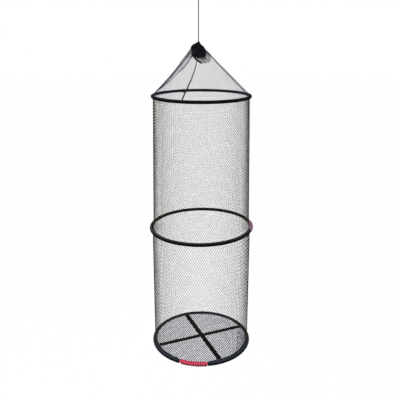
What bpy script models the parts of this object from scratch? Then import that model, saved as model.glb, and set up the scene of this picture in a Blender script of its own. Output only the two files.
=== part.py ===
"""A fishing keep net hanging from its cord, modelled as separate pieces at rest.

Lengths are metres and angles are degrees. +Z is up and +Y points away from the
viewer. The origin is the highest point of the hanging loop's eye, where a hook
carries the net, so everything else hangs below it. An azimuth is measured
around the net from its front, and grows towards the viewer's right.
"""

import math

import bmesh
import bpy
import numpy as np

# Running clearance between pieces that touch
CLEARANCE = 0.0003

# Hanging cord, its loop and the two knots
CORD_DIAMETER = 0.0026
LOOP_HEIGHT = 0.040
LOOP_WIDTH = 0.020
LOOP_KNOT_DIAMETER = 0.010
HANGING_CORD_LENGTH = 0.147
TIP_KNOT_DIAMETER = 0.010
TIP_KNOT_HEIGHT = 0.0063

# Rings: outer sizes over the binding, and what the binding hides
RING_DIAMETER = 0.400
TOP_RING_DIAMETER = 0.366
BINDING_DIAMETER = 0.013
HOOP_WIRE_DIAMETER = 0.005
FERRULE_DIAMETER = 0.008
FERRULE_LENGTH = 0.040
FERRULE_AZIMUTH = 180.0
BINDING_SEAM_WIDTH = 0.0006
BINDING_SEAM_AZIMUTH = 200.0

# Heights down the net, and how far the rings hang to the right of the cord
MOUTH_HEIGHT = 0.188
TIER_HEIGHT = 0.501
RING_OFFSET = 0.0099

# Netting: the cone is the sheet that its twine fills, and the rest has wide openings
NETTING_THICKNESS = 0.0012
NETTING_INSET = 0.004
SLEEVE_STRAND = 0.0030
SLEEVE_COLUMNS = 20
SLEEVE_ROWS = 6
BASE_NETTING_STRAND = 0.0024
BASE_NETTING_CELLS = 10
BASE_NETTING_TURN = 45.0

# Neck, shoulder and gathered mouth under the tip knot
NECK_CORE_DIAMETER = 0.0052
NECK_HEIGHT = 0.0117
SHOULDER_DROP = 0.0060
SHOULDER_RADIUS = 0.0240
TENT_DROP = 0.0240
TENT_RADIUS = 0.0298
TENT_SHIFT = -0.0016
GATHER_DROP = 0.0220
GATHER_LOBES = 8
GATHER_LOBE_SHARE = 0.10
GATHER_DROP_SHARES = (0.35, 0.75, 1.0)
GATHER_RADIUS_SHARES = (0.84, 0.60, 0.30)

# Cord wound round the neck
DRAW_CORD_DIAMETER = 0.0018
DRAW_CORD_PITCH = 0.0023
DRAW_CORD_TURNS = 2.0

# Bound hem of the mouth, folded out in front
HEM_DIAMETER = 0.0040
HEM_START_AZIMUTH = -13.6
HEM_END_AZIMUTH = 11.0
HEM_START_SHARE = 0.139
HEM_END_SHARE = 0.258

# Three bridle cords from the gather to the top ring: azimuths at their tops and feet
BRIDLE_DIAMETER = 0.0024
BRIDLE_START_SHARE = 0.03
FRONT_BRIDLE_START_SHARE = 0.25
BRIDLE_CURVE = 1.3
BRIDLE_AZIMUTHS = {
    "front": (-6.7, -21.5),
    "right": (122.0, 112.0),
    "left": (-128.0, -106.0),
}

# Red rope wound round two of the rings
ROPE_DIAMETER = 0.0060
ROPE_PITCH = 0.00735
MIDDLE_WHIPPING = (71.0, 100.3)
BOTTOM_WHIPPING = (-25.5, 7.3)
ROPE_SWING_SHARE = 0.6

# Two webbing straps across the base, and the stitching where they cross
STRAP_WIDTH = 0.015
STRAP_THICKNESS = 0.0012
STRAP_OFFSET = 0.0062
LOWER_STRAP_AZIMUTH = 22.5
UPPER_STRAP_AZIMUTH = 112.5
STITCH_SIDE = 0.0115
STITCH_THREAD = 0.0008

# Facets: sides of each hoop, of the tubes' sections, and points on a turn
RIM_SIDES = 40
BINDING_SIDES = 8
WIRE_SIDES = 6
KNOT_SIDES = 14
TURN_POINTS = 10
SWING_POINTS = 4
LOOP_POINTS = 24
SLANT_POINTS = 6

# Radii and heights that follow from the sizes above
CORD_RADIUS = CORD_DIAMETER / 2
BINDING_RADIUS = BINDING_DIAMETER / 2
WIRE_RADIUS = HOOP_WIRE_DIAMETER / 2
FERRULE_RADIUS = FERRULE_DIAMETER / 2
BRIDLE_RADIUS = BRIDLE_DIAMETER / 2
HEM_RADIUS = HEM_DIAMETER / 2
RING_RADIUS = RING_DIAMETER / 2 - BINDING_RADIUS
TOP_RING_RADIUS = TOP_RING_DIAMETER / 2 - BINDING_RADIUS
LOOP_KNOT_Z = -LOOP_HEIGHT - LOOP_KNOT_DIAMETER / 2
CORD_TOP_Z = LOOP_KNOT_Z - LOOP_KNOT_DIAMETER / 2 - CLEARANCE
CORD_BOTTOM_Z = CORD_TOP_Z - HANGING_CORD_LENGTH
TIP_Z = CORD_BOTTOM_Z - CLEARANCE
NECK_TOP_Z = TIP_Z - TIP_KNOT_HEIGHT - CLEARANCE
TOP_RING_Z = TIP_Z - MOUTH_HEIGHT
MIDDLE_RING_Z = TOP_RING_Z - TIER_HEIGHT
BOTTOM_RING_Z = MIDDLE_RING_Z - TIER_HEIGHT
RIM_STEP = 360.0 / RIM_SIDES
NECK_OUTER_RADIUS = NECK_CORE_DIAMETER / 2 + CLEARANCE + NETTING_THICKNESS
ROPE_PATH_RADIUS = (WIRE_RADIUS + CLEARANCE + ROPE_DIAMETER / 2) / math.cos(math.pi / TURN_POINTS)
WHIPPING_RADIUS = ROPE_PATH_RADIUS + ROPE_DIAMETER / 2


def clear_scene():
    """Take every object out of the scene that is open."""
    for obj in list(bpy.data.objects):
        bpy.data.objects.remove(obj, do_unlink=True)


def make_material(name, colour, roughness, metallic=0.0):
    """A plain Principled material; colour is linear red, green and blue."""
    material = bpy.data.materials.new(name)
    material.use_nodes = True
    shader = material.node_tree.nodes["Principled BSDF"]
    shader.inputs["Base Color"].default_value = (*colour, 1.0)
    shader.inputs["Roughness"].default_value = roughness
    shader.inputs["Metallic"].default_value = metallic
    return material


def dress(obj, material):
    """Give the object its material and put it into the scene."""
    obj.data.materials.append(material)
    bpy.context.scene.collection.objects.link(obj)
    return obj


def heading(azimuth):
    """The level unit vector that points away from the net's axis at an azimuth."""
    turn = np.radians(azimuth)
    return np.stack([np.sin(turn), -np.cos(turn), np.zeros_like(turn)], axis=-1)


def rim_scale(azimuth):
    """How far in a hoop of RIM_SIDES straight sides lies at an azimuth, 1 at a corner."""
    off_middle = np.radians((np.asarray(azimuth, float) % RIM_STEP) - RIM_STEP / 2)
    return math.cos(math.radians(RIM_STEP / 2)) / np.cos(off_middle)


def rim_azimuths(start, end):
    """The azimuths from start to end at which a hoop bends, with both ends."""
    first = math.floor(start / RIM_STEP) + 1
    last = math.ceil(end / RIM_STEP) - 1
    return np.array([start, *(k * RIM_STEP for k in range(first, last + 1)), end])


def arc_degrees(length, radius):
    """The angle that a length takes up round a circle."""
    return math.degrees(length / radius)


def hoop_sections(ring_radius, height, tube_radius, azimuths, sides):
    """Sections of a tube bent round the net, with flats facing in, out, up and down.

    tube_radius is measured to the middle of a flat.
    """
    corner = tube_radius / math.cos(math.pi / sides)
    round_tube = 2 * math.pi * (np.arange(sides) + 0.5) / sides
    across = ring_radius + corner * np.cos(round_tube)
    up = height + corner * np.sin(round_tube)
    reach = rim_scale(azimuths)[:, None] * across[None, :]
    points = reach[..., None] * heading(azimuths)[:, None, :]
    points[..., 0] += RING_OFFSET
    points[..., 2] = up
    return points


def level_ring(radius, height, centre_x, sides=RIM_SIDES):
    """The corners of a level ring, the first of them at the front."""
    points = radius * heading(np.arange(sides) * 360.0 / sides)
    points[:, 0] += centre_x
    points[:, 2] = height
    return points


def edge_rise(whipped):
    """How far a sleeve's edge stands off a ring's centre at each corner of the sleeve.

    It clears the binding, and it clears the rope where the ring is whipped.
    """
    rise = np.full(SLEEVE_COLUMNS, BINDING_RADIUS + CLEARANCE)
    if whipped:
        step = 360.0 / SLEEVE_COLUMNS
        start, end = whipped
        over = WHIPPING_RADIUS + CLEARANCE + NETTING_THICKNESS / 2
        first, last = math.floor(start / step), math.ceil(end / step)
        corners = np.arange(first, last + 1) % SLEEVE_COLUMNS
        rise[corners] = math.sqrt(over**2 - NETTING_INSET**2)
    return rise


def mesh_object(name, points, faces, material, smooth=True):
    """A closed mesh object whose faces are turned outwards."""
    mesh = bpy.data.meshes.new(name)
    mesh.from_pydata([tuple(p) for p in points], [], [tuple(f) for f in faces])
    shape = bmesh.new()
    shape.from_mesh(mesh)
    bmesh.ops.recalc_face_normals(shape, faces=shape.faces)
    shape.to_mesh(mesh)
    shape.free()
    if smooth:
        mesh.shade_smooth()
        mesh.set_sharp_from_angle(angle=math.radians(50))
    return dress(bpy.data.objects.new(name, mesh), material)


def lofted(name, sections, closed, material):
    """A skin over sections that all have the same number of points.

    A closed loft joins its last section to its first, as on a hoop or on a
    tube's outer and inner walls. An open one gets a cap at each end.
    """
    points = np.concatenate(sections)
    count, sides = len(sections), len(sections[0])
    faces = []
    for k in range(count if closed else count - 1):
        here, there = k * sides, (k + 1) % count * sides
        for i in range(sides):
            j = (i + 1) % sides
            faces.append((here + i, here + j, there + j, there + i))
    if not closed:
        faces.append(range(sides))
        faces.append(range((count - 1) * sides, count * sides))
    return mesh_object(name, points, faces, material)


def corded(name, points, diameter, material, resolution=1):
    """A round cord along the points, as a curve with a bevel and filled caps."""
    curve = bpy.data.curves.new(name, "CURVE")
    curve.dimensions = "3D"
    curve.bevel_depth = diameter / 2
    curve.bevel_resolution = resolution
    curve.use_fill_caps = True
    spline = curve.splines.new("POLY")
    spline.points.add(len(points) - 1)
    for place, point in zip(spline.points, points):
        place.co = (*point, 1.0)
    spline.use_smooth = True
    return dress(bpy.data.objects.new(name, curve), material)


def ellipsoid(name, centre, diameter, height, material):
    """A knot drawn up tight, as a smooth round lump."""
    shape = bmesh.new()
    bmesh.ops.create_uvsphere(shape, u_segments=KNOT_SIDES, v_segments=KNOT_SIDES // 2, radius=0.5)
    bmesh.ops.scale(shape, vec=(diameter, diameter, height), verts=shape.verts)
    bmesh.ops.translate(shape, vec=centre, verts=shape.verts)
    mesh = bpy.data.meshes.new(name)
    shape.to_mesh(mesh)
    shape.free()
    mesh.shade_smooth()
    return dress(bpy.data.objects.new(name, mesh), material)


def inward(profile, distance):
    """A falling profile of (radius, height) points, moved in by an even distance.

    Its two ends stay at their own heights.
    """
    outline = np.asarray(profile, float)
    along = np.diff(outline, axis=0)
    along /= np.linalg.norm(along, axis=1)[:, None]
    square = np.stack([along[:, 1], -along[:, 0]], axis=1)
    before, after = square[:-1], square[1:]
    bend = 1 + np.sum(before * after, axis=1)
    inner = outline.copy()
    inner[1:-1] += distance * (before + after) / bend[:, None]
    inner[[0, -1], 0] += distance / square[[0, -1], 0]
    return inner


def winding(core_radius, rope, pitch, turns):
    """The centreline of a rope wound on a core: (travel along the core, turn, radius).

    The rope comes in along the core for one diameter, swings round into the
    turns, and swings back out along the core at the other end.
    """
    centre_radius = (core_radius + CLEARANCE + rope / 2) / math.cos(math.pi / TURN_POINTS)
    slant = math.atan2(pitch, 2 * math.pi * centre_radius)
    step = 2 * math.pi * centre_radius / math.cos(slant) / TURN_POINTS
    swing = np.linspace(math.pi / 2, slant, SWING_POINTS)
    swing_step = ROPE_SWING_SHARE * rope * (math.pi / 2 - slant) / (SWING_POINTS - 1)
    wound = round(turns * TURN_POINTS)
    slants = [(swing[0], rope)]
    slants += [((a + b) / 2, swing_step) for a, b in zip(swing, swing[1:])]
    slants += [(slant, step)] * wound
    slants += [((a + b) / 2, swing_step) for a, b in zip(swing[:0:-1], swing[-2::-1])]
    slants += [(swing[0], rope)]
    travel, turned = [0.0], [0.0]
    for angle, length in slants:
        travel.append(travel[-1] + math.sin(angle) * length)
        turned.append(turned[-1] + math.cos(angle) * length / centre_radius)
    return np.array(travel), np.array(turned), centre_radius


def self_gap(points, diameter, apart):
    """The least gap between stretches of a tube that lie more than apart along it."""
    steps = np.linalg.norm(np.diff(points, axis=0), axis=1)
    place = np.concatenate([[0.0], np.cumsum(steps)])
    fine = np.linspace(0.0, place[-1], 6 * len(points))
    spots = np.stack([np.interp(fine, place, points[:, k]) for k in range(3)], axis=1)
    gaps = np.linalg.norm(spots[:, None] - spots[None], axis=2)
    gaps[np.abs(fine[:, None] - fine[None]) < apart] = np.inf
    return gaps.min() - diameter


def loop_path():
    """The eye: two legs rise side by side from the knot and meet in a round top."""
    turn = np.linspace(0.0, 2 * math.pi, LOOP_POINTS)
    bulge = np.sin(turn) * np.sin(turn / 2) ** 2
    leg = CORD_RADIUS + CLEARANCE
    side = leg * np.cos(turn / 2) + (LOOP_WIDTH / 2 - CORD_RADIUS) * bulge / bulge.max()
    rise = (1 - np.cos(turn)) / 2
    foot = CLEARANCE - LOOP_HEIGHT
    height = foot + rise * (CORD_RADIUS - foot)
    return np.stack([-side, np.zeros_like(side), height], axis=1)


def build_hanging_cord(cord):
    """The loop, its knot, and the taut cord down to the tip of the net."""
    corded("hanging_loop", loop_path(), CORD_DIAMETER, cord)
    knot = LOOP_KNOT_DIAMETER
    ellipsoid("loop_knot", (0.0, 0.0, LOOP_KNOT_Z), knot, knot, cord)
    stretches = math.ceil(HANGING_CORD_LENGTH / (2.5 * CORD_DIAMETER))
    height = np.linspace(CORD_TOP_Z, CORD_BOTTOM_Z, stretches + 1)
    route = np.stack([np.zeros_like(height), np.zeros_like(height), height], axis=1)
    corded("hanging_cord", route, CORD_DIAMETER, cord, resolution=2)
    middle = TIP_Z - TIP_KNOT_HEIGHT / 2
    ellipsoid("tip_knot", (0.0, 0.0, middle), TIP_KNOT_DIAMETER, TIP_KNOT_HEIGHT, cord)


def mouth_profile():
    """Outer (radius, height) of the cone netting, from the neck down to the top ring."""
    shoulder_top = NECK_TOP_Z - NECK_HEIGHT
    foot = TOP_RING_Z + BINDING_RADIUS + CLEARANCE
    return (
        (NECK_OUTER_RADIUS, NECK_TOP_Z),
        (NECK_OUTER_RADIUS, shoulder_top),
        (SHOULDER_RADIUS, shoulder_top - SHOULDER_DROP),
        (TENT_RADIUS, NECK_TOP_Z - TENT_DROP),
        (TOP_RING_RADIUS - NETTING_INSET + NETTING_THICKNESS / 2, foot),
    )


def mouth_centres():
    """How far each level of mouth_profile() lies to the side of the cord."""
    return (0.0, 0.0, TENT_SHIFT * SHOULDER_RADIUS / TENT_RADIUS, TENT_SHIFT, RING_OFFSET)


def on_cone(share, azimuth, lift):
    """A point on the cone's straight side, lift away from its outer face.

    share runs from 0 at the foot of the tent to 1 at the top ring.
    """
    (high_radius, high), (low_radius, low) = mouth_profile()[-2:]
    slope = np.array([low_radius - high_radius, low - high])
    away = np.array([-slope[1], slope[0]]) / np.linalg.norm(slope)
    radius = high_radius + share * slope[0] + lift * away[0]
    point = radius * heading(azimuth)
    point[..., 0] += TENT_SHIFT + share * (RING_OFFSET - TENT_SHIFT)
    point[..., 2] = high + share * slope[1] + lift * away[1]
    return point


def build_mouth(netting, cord, hem):
    """The cone of netting, the gathered mouth, its hem, draw cord and bridle."""
    profile, centres = mouth_profile(), mouth_centres()
    outer = [level_ring(r, z, x) for (r, z), x in zip(profile, centres)]
    inner = [level_ring(r, z, x) for (r, z), x in zip(inward(profile, NETTING_THICKNESS), centres)]
    lofted("cone_netting", outer + inner[::-1], True, netting)
    build_gather(netting)
    build_draw_cord(cord)
    share = np.linspace(HEM_START_SHARE, HEM_END_SHARE, SLANT_POINTS)
    azimuth = np.linspace(HEM_START_AZIMUTH, HEM_END_AZIMUTH, SLANT_POINTS)
    path = [on_cone(s, a, HEM_RADIUS + CLEARANCE) for s, a in zip(share, azimuth)]
    corded("mouth_hem", np.array(path), HEM_DIAMETER, hem)
    for side, (top, foot) in BRIDLE_AZIMUTHS.items():
        start = FRONT_BRIDLE_START_SHARE if side == "front" else BRIDLE_START_SHARE
        build_bridle(side, start, top, foot, cord)


def build_gather(netting):
    """The bunched mouth: a core up the neck, a full top under the tent, lobes below."""
    under = inward(mouth_profile(), NETTING_THICKNESS + CLEARANCE)[:4]
    sections = [level_ring(r, z, x) for (r, z), x in zip(under, mouth_centres())]
    azimuth = np.arange(RIM_SIDES) * RIM_STEP
    lobes = 1 + GATHER_LOBE_SHARE * np.cos(np.radians(GATHER_LOBES * azimuth))
    full_radius, full_z = under[-1]
    for drop_share, radius_share in zip(GATHER_DROP_SHARES, GATHER_RADIUS_SHARES):
        ring = radius_share * full_radius * lobes[:, None] * heading(azimuth)
        ring[:, 0] += TENT_SHIFT
        ring[:, 2] = full_z - drop_share * GATHER_DROP
        sections.append(ring)
    lofted("mouth_gather", sections, False, netting)


def build_draw_cord(cord):
    """The draw cord's turns round the neck, with its ends along the neck."""
    travel, turned, radius = winding(
        NECK_OUTER_RADIUS, DRAW_CORD_DIAMETER, DRAW_CORD_PITCH, DRAW_CORD_TURNS
    )
    height = NECK_TOP_Z - (NECK_HEIGHT - travel[-1]) / 2 - travel
    path = np.stack([radius * np.cos(turned), radius * np.sin(turned), height], axis=1)
    corded("draw_cord", path, DRAW_CORD_DIAMETER, cord)
    gap = self_gap(path, DRAW_CORD_DIAMETER, math.pi * radius)
    print(f"draw_cord: least gap to itself {1000 * gap:.2f} mm")


def build_bridle(side, start, top, foot, cord):
    """One bridle cord down the outside of the cone to the top ring's binding."""
    lift = BRIDLE_RADIUS + CLEARANCE
    high, low = on_cone(0.0, top, lift)[2], on_cone(1.0, foot, lift)[2]
    stop = TOP_RING_Z + BINDING_RADIUS + CLEARANCE + BRIDLE_RADIUS
    end = (high - stop) / (high - low)
    steps = np.linspace(0.0, 1.0, SLANT_POINTS)
    turned = foot + (top - foot) * (1 - steps) ** BRIDLE_CURVE
    path = [on_cone(start + s * (end - start), a, lift) for s, a in zip(steps, turned)]
    corded(f"bridle_cord_{side}", np.array(path), BRIDLE_DIAMETER, cord)


def bore_walls(ring_radius, height, start, end):
    """The binding's inner wall from start to end, with the ferrule's pocket if it is there."""
    wire, pocket = WIRE_RADIUS + CLEARANCE, FERRULE_RADIUS + CLEARANCE
    half = arc_degrees(FERRULE_LENGTH / 2 + CLEARANCE, ring_radius)
    near, far = FERRULE_AZIMUTH - half, FERRULE_AZIMUTH + half
    walls = []
    for low, high, radius in ((start, near, wire), (near, far, pocket), (far, end, wire)):
        walls += list(
            hoop_sections(ring_radius, height, radius, rim_azimuths(low, high), BINDING_SIDES)
        )
    return walls


def build_ring(name, ring_radius, height, start, end, wire, steel, binding):
    """A wire hoop with its ferrule, in a binding that runs from start to end."""
    every = np.arange(RIM_SIDES) * RIM_STEP
    hoop = hoop_sections(ring_radius, height, WIRE_RADIUS * math.cos(math.pi / WIRE_SIDES), every, WIRE_SIDES)
    lofted(f"{name}_hoop", list(hoop), True, wire)
    half = arc_degrees(FERRULE_LENGTH / 2, ring_radius)
    span = rim_azimuths(FERRULE_AZIMUTH - half, FERRULE_AZIMUTH + half)
    outside = list(hoop_sections(ring_radius, height, FERRULE_RADIUS, span, BINDING_SIDES))
    inside = list(hoop_sections(ring_radius, height, WIRE_RADIUS + CLEARANCE, span, BINDING_SIDES))
    lofted(f"{name}_ferrule", outside + inside[::-1], True, steel)
    span = rim_azimuths(start, end)
    outside = list(hoop_sections(ring_radius, height, BINDING_RADIUS, span, BINDING_SIDES))
    inside = bore_walls(ring_radius, height, start, end)
    lofted(f"{name}_binding", outside + inside[::-1], True, binding)


def build_whipping(name, ring_radius, height, start, end, rope):
    """Rope wound round the bare hoop between the binding's two ends."""
    length = math.radians(end - start) * ring_radius
    tails = winding(WIRE_RADIUS, ROPE_DIAMETER, ROPE_PITCH, 0)[0][-1]
    turns = math.floor((length - tails) / ROPE_PITCH * TURN_POINTS) / TURN_POINTS
    travel, turned, radius = winding(WIRE_RADIUS, ROPE_DIAMETER, ROPE_PITCH, turns)
    azimuth = start + (end - start) * (travel / travel[-1])
    reach = rim_scale(azimuth) * (ring_radius + radius * np.cos(turned))
    path = reach[:, None] * heading(azimuth)
    path[:, 0] += RING_OFFSET
    path[:, 2] = height + radius * np.sin(turned)
    corded(name, path, ROPE_DIAMETER, rope)
    gap = self_gap(path, ROPE_DIAMETER, math.pi * radius)
    print(f"{name}: {turns:.1f} turns, least gap to itself {1000 * gap:.2f} mm")


def frame_opening(faces, corners, gap):
    """Add the faces round one opening of a net: its frame on both sides and its walls.

    Both hold four points on the near side, and each one's twin on the far side is next.
    """
    for k in range(4):
        n = (k + 1) % 4
        faces.append((corners[k], corners[n], gap[n], gap[k]))
        faces.append((corners[n] + 1, corners[k] + 1, gap[k] + 1, gap[n] + 1))
        faces.append((gap[k], gap[n], gap[n] + 1, gap[k] + 1))


def build_tier(name, high_ring, low_ring, netting):
    """The sleeve of netting between two rings, hung just inside their centres.

    Each ring is its radius, its height and its whipping's two azimuths, if any.
    The wall has one column of openings on each of its flat sides.
    """
    walls = []
    for out in (NETTING_THICKNESS / 2, -NETTING_THICKNESS / 2):
        edges = []
        for (radius, height, whipped), way in ((high_ring, -1), (low_ring, 1)):
            level = height + way * edge_rise(whipped)
            edges.append(level_ring(radius - NETTING_INSET + out, level, RING_OFFSET, SLEEVE_COLUMNS))
        walls.append(edges)
    points, faces = [], []

    def put(column, across, down):
        beside = (column + 1) % SLEEVE_COLUMNS
        for top, bottom in walls:
            left = top[column] + down * (bottom[column] - top[column])
            right = top[beside] + down * (bottom[beside] - top[beside])
            points.append(left + across * (right - left))
        return len(points) - 2

    top, bottom = walls[0]
    rim = SLEEVE_STRAND / 2 / np.linalg.norm(bottom[1] - bottom[0])
    band = SLEEVE_STRAND / 2 / (top[0][2] - bottom[0][2])
    levels = np.linspace(0.0, 1.0, SLEEVE_ROWS + 1)
    knots = [[put(i, 0.0, level) for i in range(SLEEVE_COLUMNS)] for level in levels]
    for j in range(SLEEVE_ROWS):
        low, high = levels[j] + band, levels[j + 1] - band
        for i in range(SLEEVE_COLUMNS):
            n = (i + 1) % SLEEVE_COLUMNS
            square = ((rim, low), (1 - rim, low), (1 - rim, high), (rim, high))
            gap = [put(i, across, down) for across, down in square]
            frame_opening(faces, (knots[j][i], knots[j][n], knots[j + 1][n], knots[j + 1][i]), gap)
    for edge in (knots[0], knots[-1]):
        for here, there in zip(edge, edge[1:] + edge[:1]):
            faces.append((here, there, there + 1, here + 1))
    mesh_object(name, points, faces, netting, smooth=False)


def on_disc(across, along, radius):
    """A square of side 2 opened out into a disc, so that a square net fills a round base."""
    x = across * np.sqrt(1 - along**2 / 2)
    y = along * np.sqrt(1 - across**2 / 2)
    azimuth = np.degrees(np.arctan2(x, -y)) + BASE_NETTING_TURN
    edge = np.maximum(np.abs(across), np.abs(along))
    scale = radius * (1 + (rim_scale(azimuth) - 1) * edge)
    return np.hypot(x, y)[..., None] * scale[..., None] * heading(azimuth)


def build_base_netting(top, netting):
    """A flat net whose squares fill the bottom ring, from strands of a square section."""
    cells = BASE_NETTING_CELLS
    radius = RING_RADIUS - WHIPPING_RADIUS - CLEARANCE
    lines = np.linspace(-1.0, 1.0, cells + 1)
    half = BASE_NETTING_STRAND / 2 / radius
    points, faces = [], []

    def put(across, along):
        x, y, _ = on_disc(np.float64(across), np.float64(along), radius)
        points.append((x + RING_OFFSET, y, top))
        points.append((x + RING_OFFSET, y, top - NETTING_THICKNESS))
        return len(points) - 2

    corners = [[put(a, b) for b in lines] for a in lines]
    for i in range(cells):
        for j in range(cells):
            outer = (corners[i][j], corners[i + 1][j], corners[i + 1][j + 1], corners[i][j + 1])
            low_a, high_a = lines[i] + half, lines[i + 1] - half
            low_b, high_b = lines[j] + half, lines[j + 1] - half
            square = ((low_a, low_b), (high_a, low_b), (high_a, high_b), (low_a, high_b))
            frame_opening(faces, outer, [put(a, b) for a, b in square])
    edge = [(i, 0) for i in range(cells)] + [(cells, j) for j in range(cells)]
    edge += [(i, cells) for i in range(cells, 0, -1)] + [(0, j) for j in range(cells, 0, -1)]
    for (i, j), (m, n) in zip(edge, edge[1:] + edge[:1]):
        faces.append((corners[m][n], corners[i][j], corners[i][j] + 1, corners[m][n] + 1))
    mesh_object("base_netting", points, faces, netting, smooth=False)


def build_strap(name, azimuth, top, webbing):
    """One flat strap across the base, from the inner face of the binding to its far side."""
    inner = (RING_RADIUS - BINDING_RADIUS) * math.cos(math.radians(RIM_STEP / 2)) - CLEARANCE
    widest = STRAP_OFFSET + STRAP_WIDTH / 2
    half = math.sqrt(inner**2 - widest**2)
    along, beside = heading(azimuth), heading(azimuth + 90.0)
    outline = []
    for reach, across in ((-half, -0.5), (half, -0.5), (half, 0.5), (-half, 0.5)):
        outline.append(reach * along + (STRAP_OFFSET + across * STRAP_WIDTH) * beside)
    corners = np.array(outline)
    corners[:, 0] += RING_OFFSET
    upper, lower = corners.copy(), corners.copy()
    upper[:, 2] = top
    lower[:, 2] = top - STRAP_THICKNESS
    lofted(name, [upper, lower], False, webbing)


def crossing():
    """Where the middle lines of the two straps cross."""
    lower = STRAP_OFFSET * heading(LOWER_STRAP_AZIMUTH + 90.0)
    upper = STRAP_OFFSET * heading(UPPER_STRAP_AZIMUTH + 90.0)
    place = lower + upper
    place[0] += RING_OFFSET
    return place


def build_cross_stitch(bottom, thread):
    """A square of stitching on the upper strap, over the crossing."""
    place, half = crossing(), STITCH_THREAD / 2
    sections = []
    for k in range(4):
        corner = heading(LOWER_STRAP_AZIMUTH + 45.0 + 90.0 * k)
        for_side = STITCH_SIDE / math.sqrt(2)
        section = []
        for out, up in ((half, 0.0), (half, 1.0), (-half, 1.0), (-half, 0.0)):
            point = place + (for_side + out * math.sqrt(2)) * corner
            point[2] = bottom + up * STITCH_THREAD
            section.append(point)
        sections.append(np.array(section))
    lofted("strap_cross_stitch", sections, True, thread)


def build_base(netting, webbing, thread):
    """The base net under two crossed straps, level with the bottom ring."""
    layer = STRAP_THICKNESS + CLEARANCE
    net_top = BOTTOM_RING_Z - CLEARANCE
    build_base_netting(net_top, netting)
    build_strap("base_strap_lower", LOWER_STRAP_AZIMUTH, net_top + layer, webbing)
    build_strap("base_strap_upper", UPPER_STRAP_AZIMUTH, net_top + 2 * layer, webbing)
    build_cross_stitch(net_top + 2 * layer + CLEARANCE, thread)


def build_rings(wire, steel, binding, rope):
    """The three bound hoops, two of them whipped with rope for part of the way round."""
    seam = arc_degrees(BINDING_SEAM_WIDTH / 2, TOP_RING_RADIUS)
    low, high = BINDING_SEAM_AZIMUTH - 360.0 + seam, BINDING_SEAM_AZIMUTH - seam
    build_ring("top", TOP_RING_RADIUS, TOP_RING_Z, low, high, wire, steel, binding)
    end_gap = arc_degrees(CLEARANCE, RING_RADIUS)
    for name, height, (start, end) in (
        ("middle", MIDDLE_RING_Z, MIDDLE_WHIPPING),
        ("bottom", BOTTOM_RING_Z, BOTTOM_WHIPPING),
    ):
        low, high = end + end_gap, start + 360.0 - end_gap
        build_ring(name, RING_RADIUS, height, low, high, wire, steel, binding)
        build_whipping(f"{name}_whipping", RING_RADIUS, height, start, end, rope)


def main():
    """Build every piece of the net."""
    clear_scene()
    cord = make_material("black_cord", (0.012, 0.012, 0.014), 0.75)
    netting = make_material("netting_twine", (0.43, 0.435, 0.42), 0.70)
    hem = make_material("mouth_hem_tape", (0.008, 0.008, 0.009), 0.80)
    wire = make_material("hoop_wire", (0.55, 0.56, 0.58), 0.35, 1.0)
    steel = make_material("ferrule_steel", (0.62, 0.62, 0.64), 0.30, 1.0)
    binding = make_material("ring_binding", (0.013, 0.018, 0.030), 0.65)
    rope = make_material("whipping_rope", (0.58, 0.030, 0.090), 0.55)
    webbing = make_material("strap_webbing", (0.006, 0.006, 0.007), 0.80)
    thread = make_material("stitch_thread", (0.020, 0.020, 0.022), 0.70)
    build_hanging_cord(cord)
    build_mouth(netting, cord, hem)
    build_rings(wire, steel, binding, rope)
    top_ring = (TOP_RING_RADIUS, TOP_RING_Z, None)
    middle_ring = (RING_RADIUS, MIDDLE_RING_Z, MIDDLE_WHIPPING)
    bottom_ring = (RING_RADIUS, BOTTOM_RING_Z, BOTTOM_WHIPPING)
    build_tier("upper_netting", top_ring, middle_ring, netting)
    build_tier("lower_netting", middle_ring, bottom_ring, netting)
    build_base(netting, webbing, thread)


main()
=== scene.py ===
"""A fishing keep net that hangs from its cord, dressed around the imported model.

Lengths are metres, +Z is up and +Y points away from the viewer. The origin is the
highest point of the hanging loop's eye, where a hook carries the net. An azimuth is
measured in degrees round the net from its front, and grows towards the viewer's right;
a turn is the same angle in radians. A field that ends in points, rings, sides or steps
says how fine a shape is.
"""

import logging
import math
from collections.abc import Callable
from dataclasses import dataclass, replace
from enum import Enum
from functools import partial

import bpy
import numpy as np
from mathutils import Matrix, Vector


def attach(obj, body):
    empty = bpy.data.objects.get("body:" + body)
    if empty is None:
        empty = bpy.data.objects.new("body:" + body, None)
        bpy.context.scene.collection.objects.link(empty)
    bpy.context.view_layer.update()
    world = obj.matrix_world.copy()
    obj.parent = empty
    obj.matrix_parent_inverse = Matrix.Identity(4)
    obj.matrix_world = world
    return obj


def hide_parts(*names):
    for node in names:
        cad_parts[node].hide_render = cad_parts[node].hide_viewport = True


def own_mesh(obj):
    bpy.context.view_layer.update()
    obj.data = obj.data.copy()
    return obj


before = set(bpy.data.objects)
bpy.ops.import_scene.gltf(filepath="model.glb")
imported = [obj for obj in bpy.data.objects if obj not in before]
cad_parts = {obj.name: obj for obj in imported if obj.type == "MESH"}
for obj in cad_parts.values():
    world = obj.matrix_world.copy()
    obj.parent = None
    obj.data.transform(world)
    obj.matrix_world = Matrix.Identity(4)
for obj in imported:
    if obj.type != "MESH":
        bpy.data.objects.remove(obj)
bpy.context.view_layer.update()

Array = np.ndarray
Colour = tuple[float, float, float]
Point = tuple[float, float, float]
Place = Callable[[Array, Array], tuple[Array, Array]]
Region = Callable[[Array, Array], Array]
Tree = bpy.types.NodeTree
Socket = bpy.types.NodeSocket
Outputs = bpy.types.NodeOutputs
Pair = tuple[Socket, Socket]

LOG = logging.getLogger("keep_net")
UV_LAYER = "lay"
UP = np.array([0.0, 0.0, 1.0])
LEAST_LENGTH = 1e-12

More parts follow.
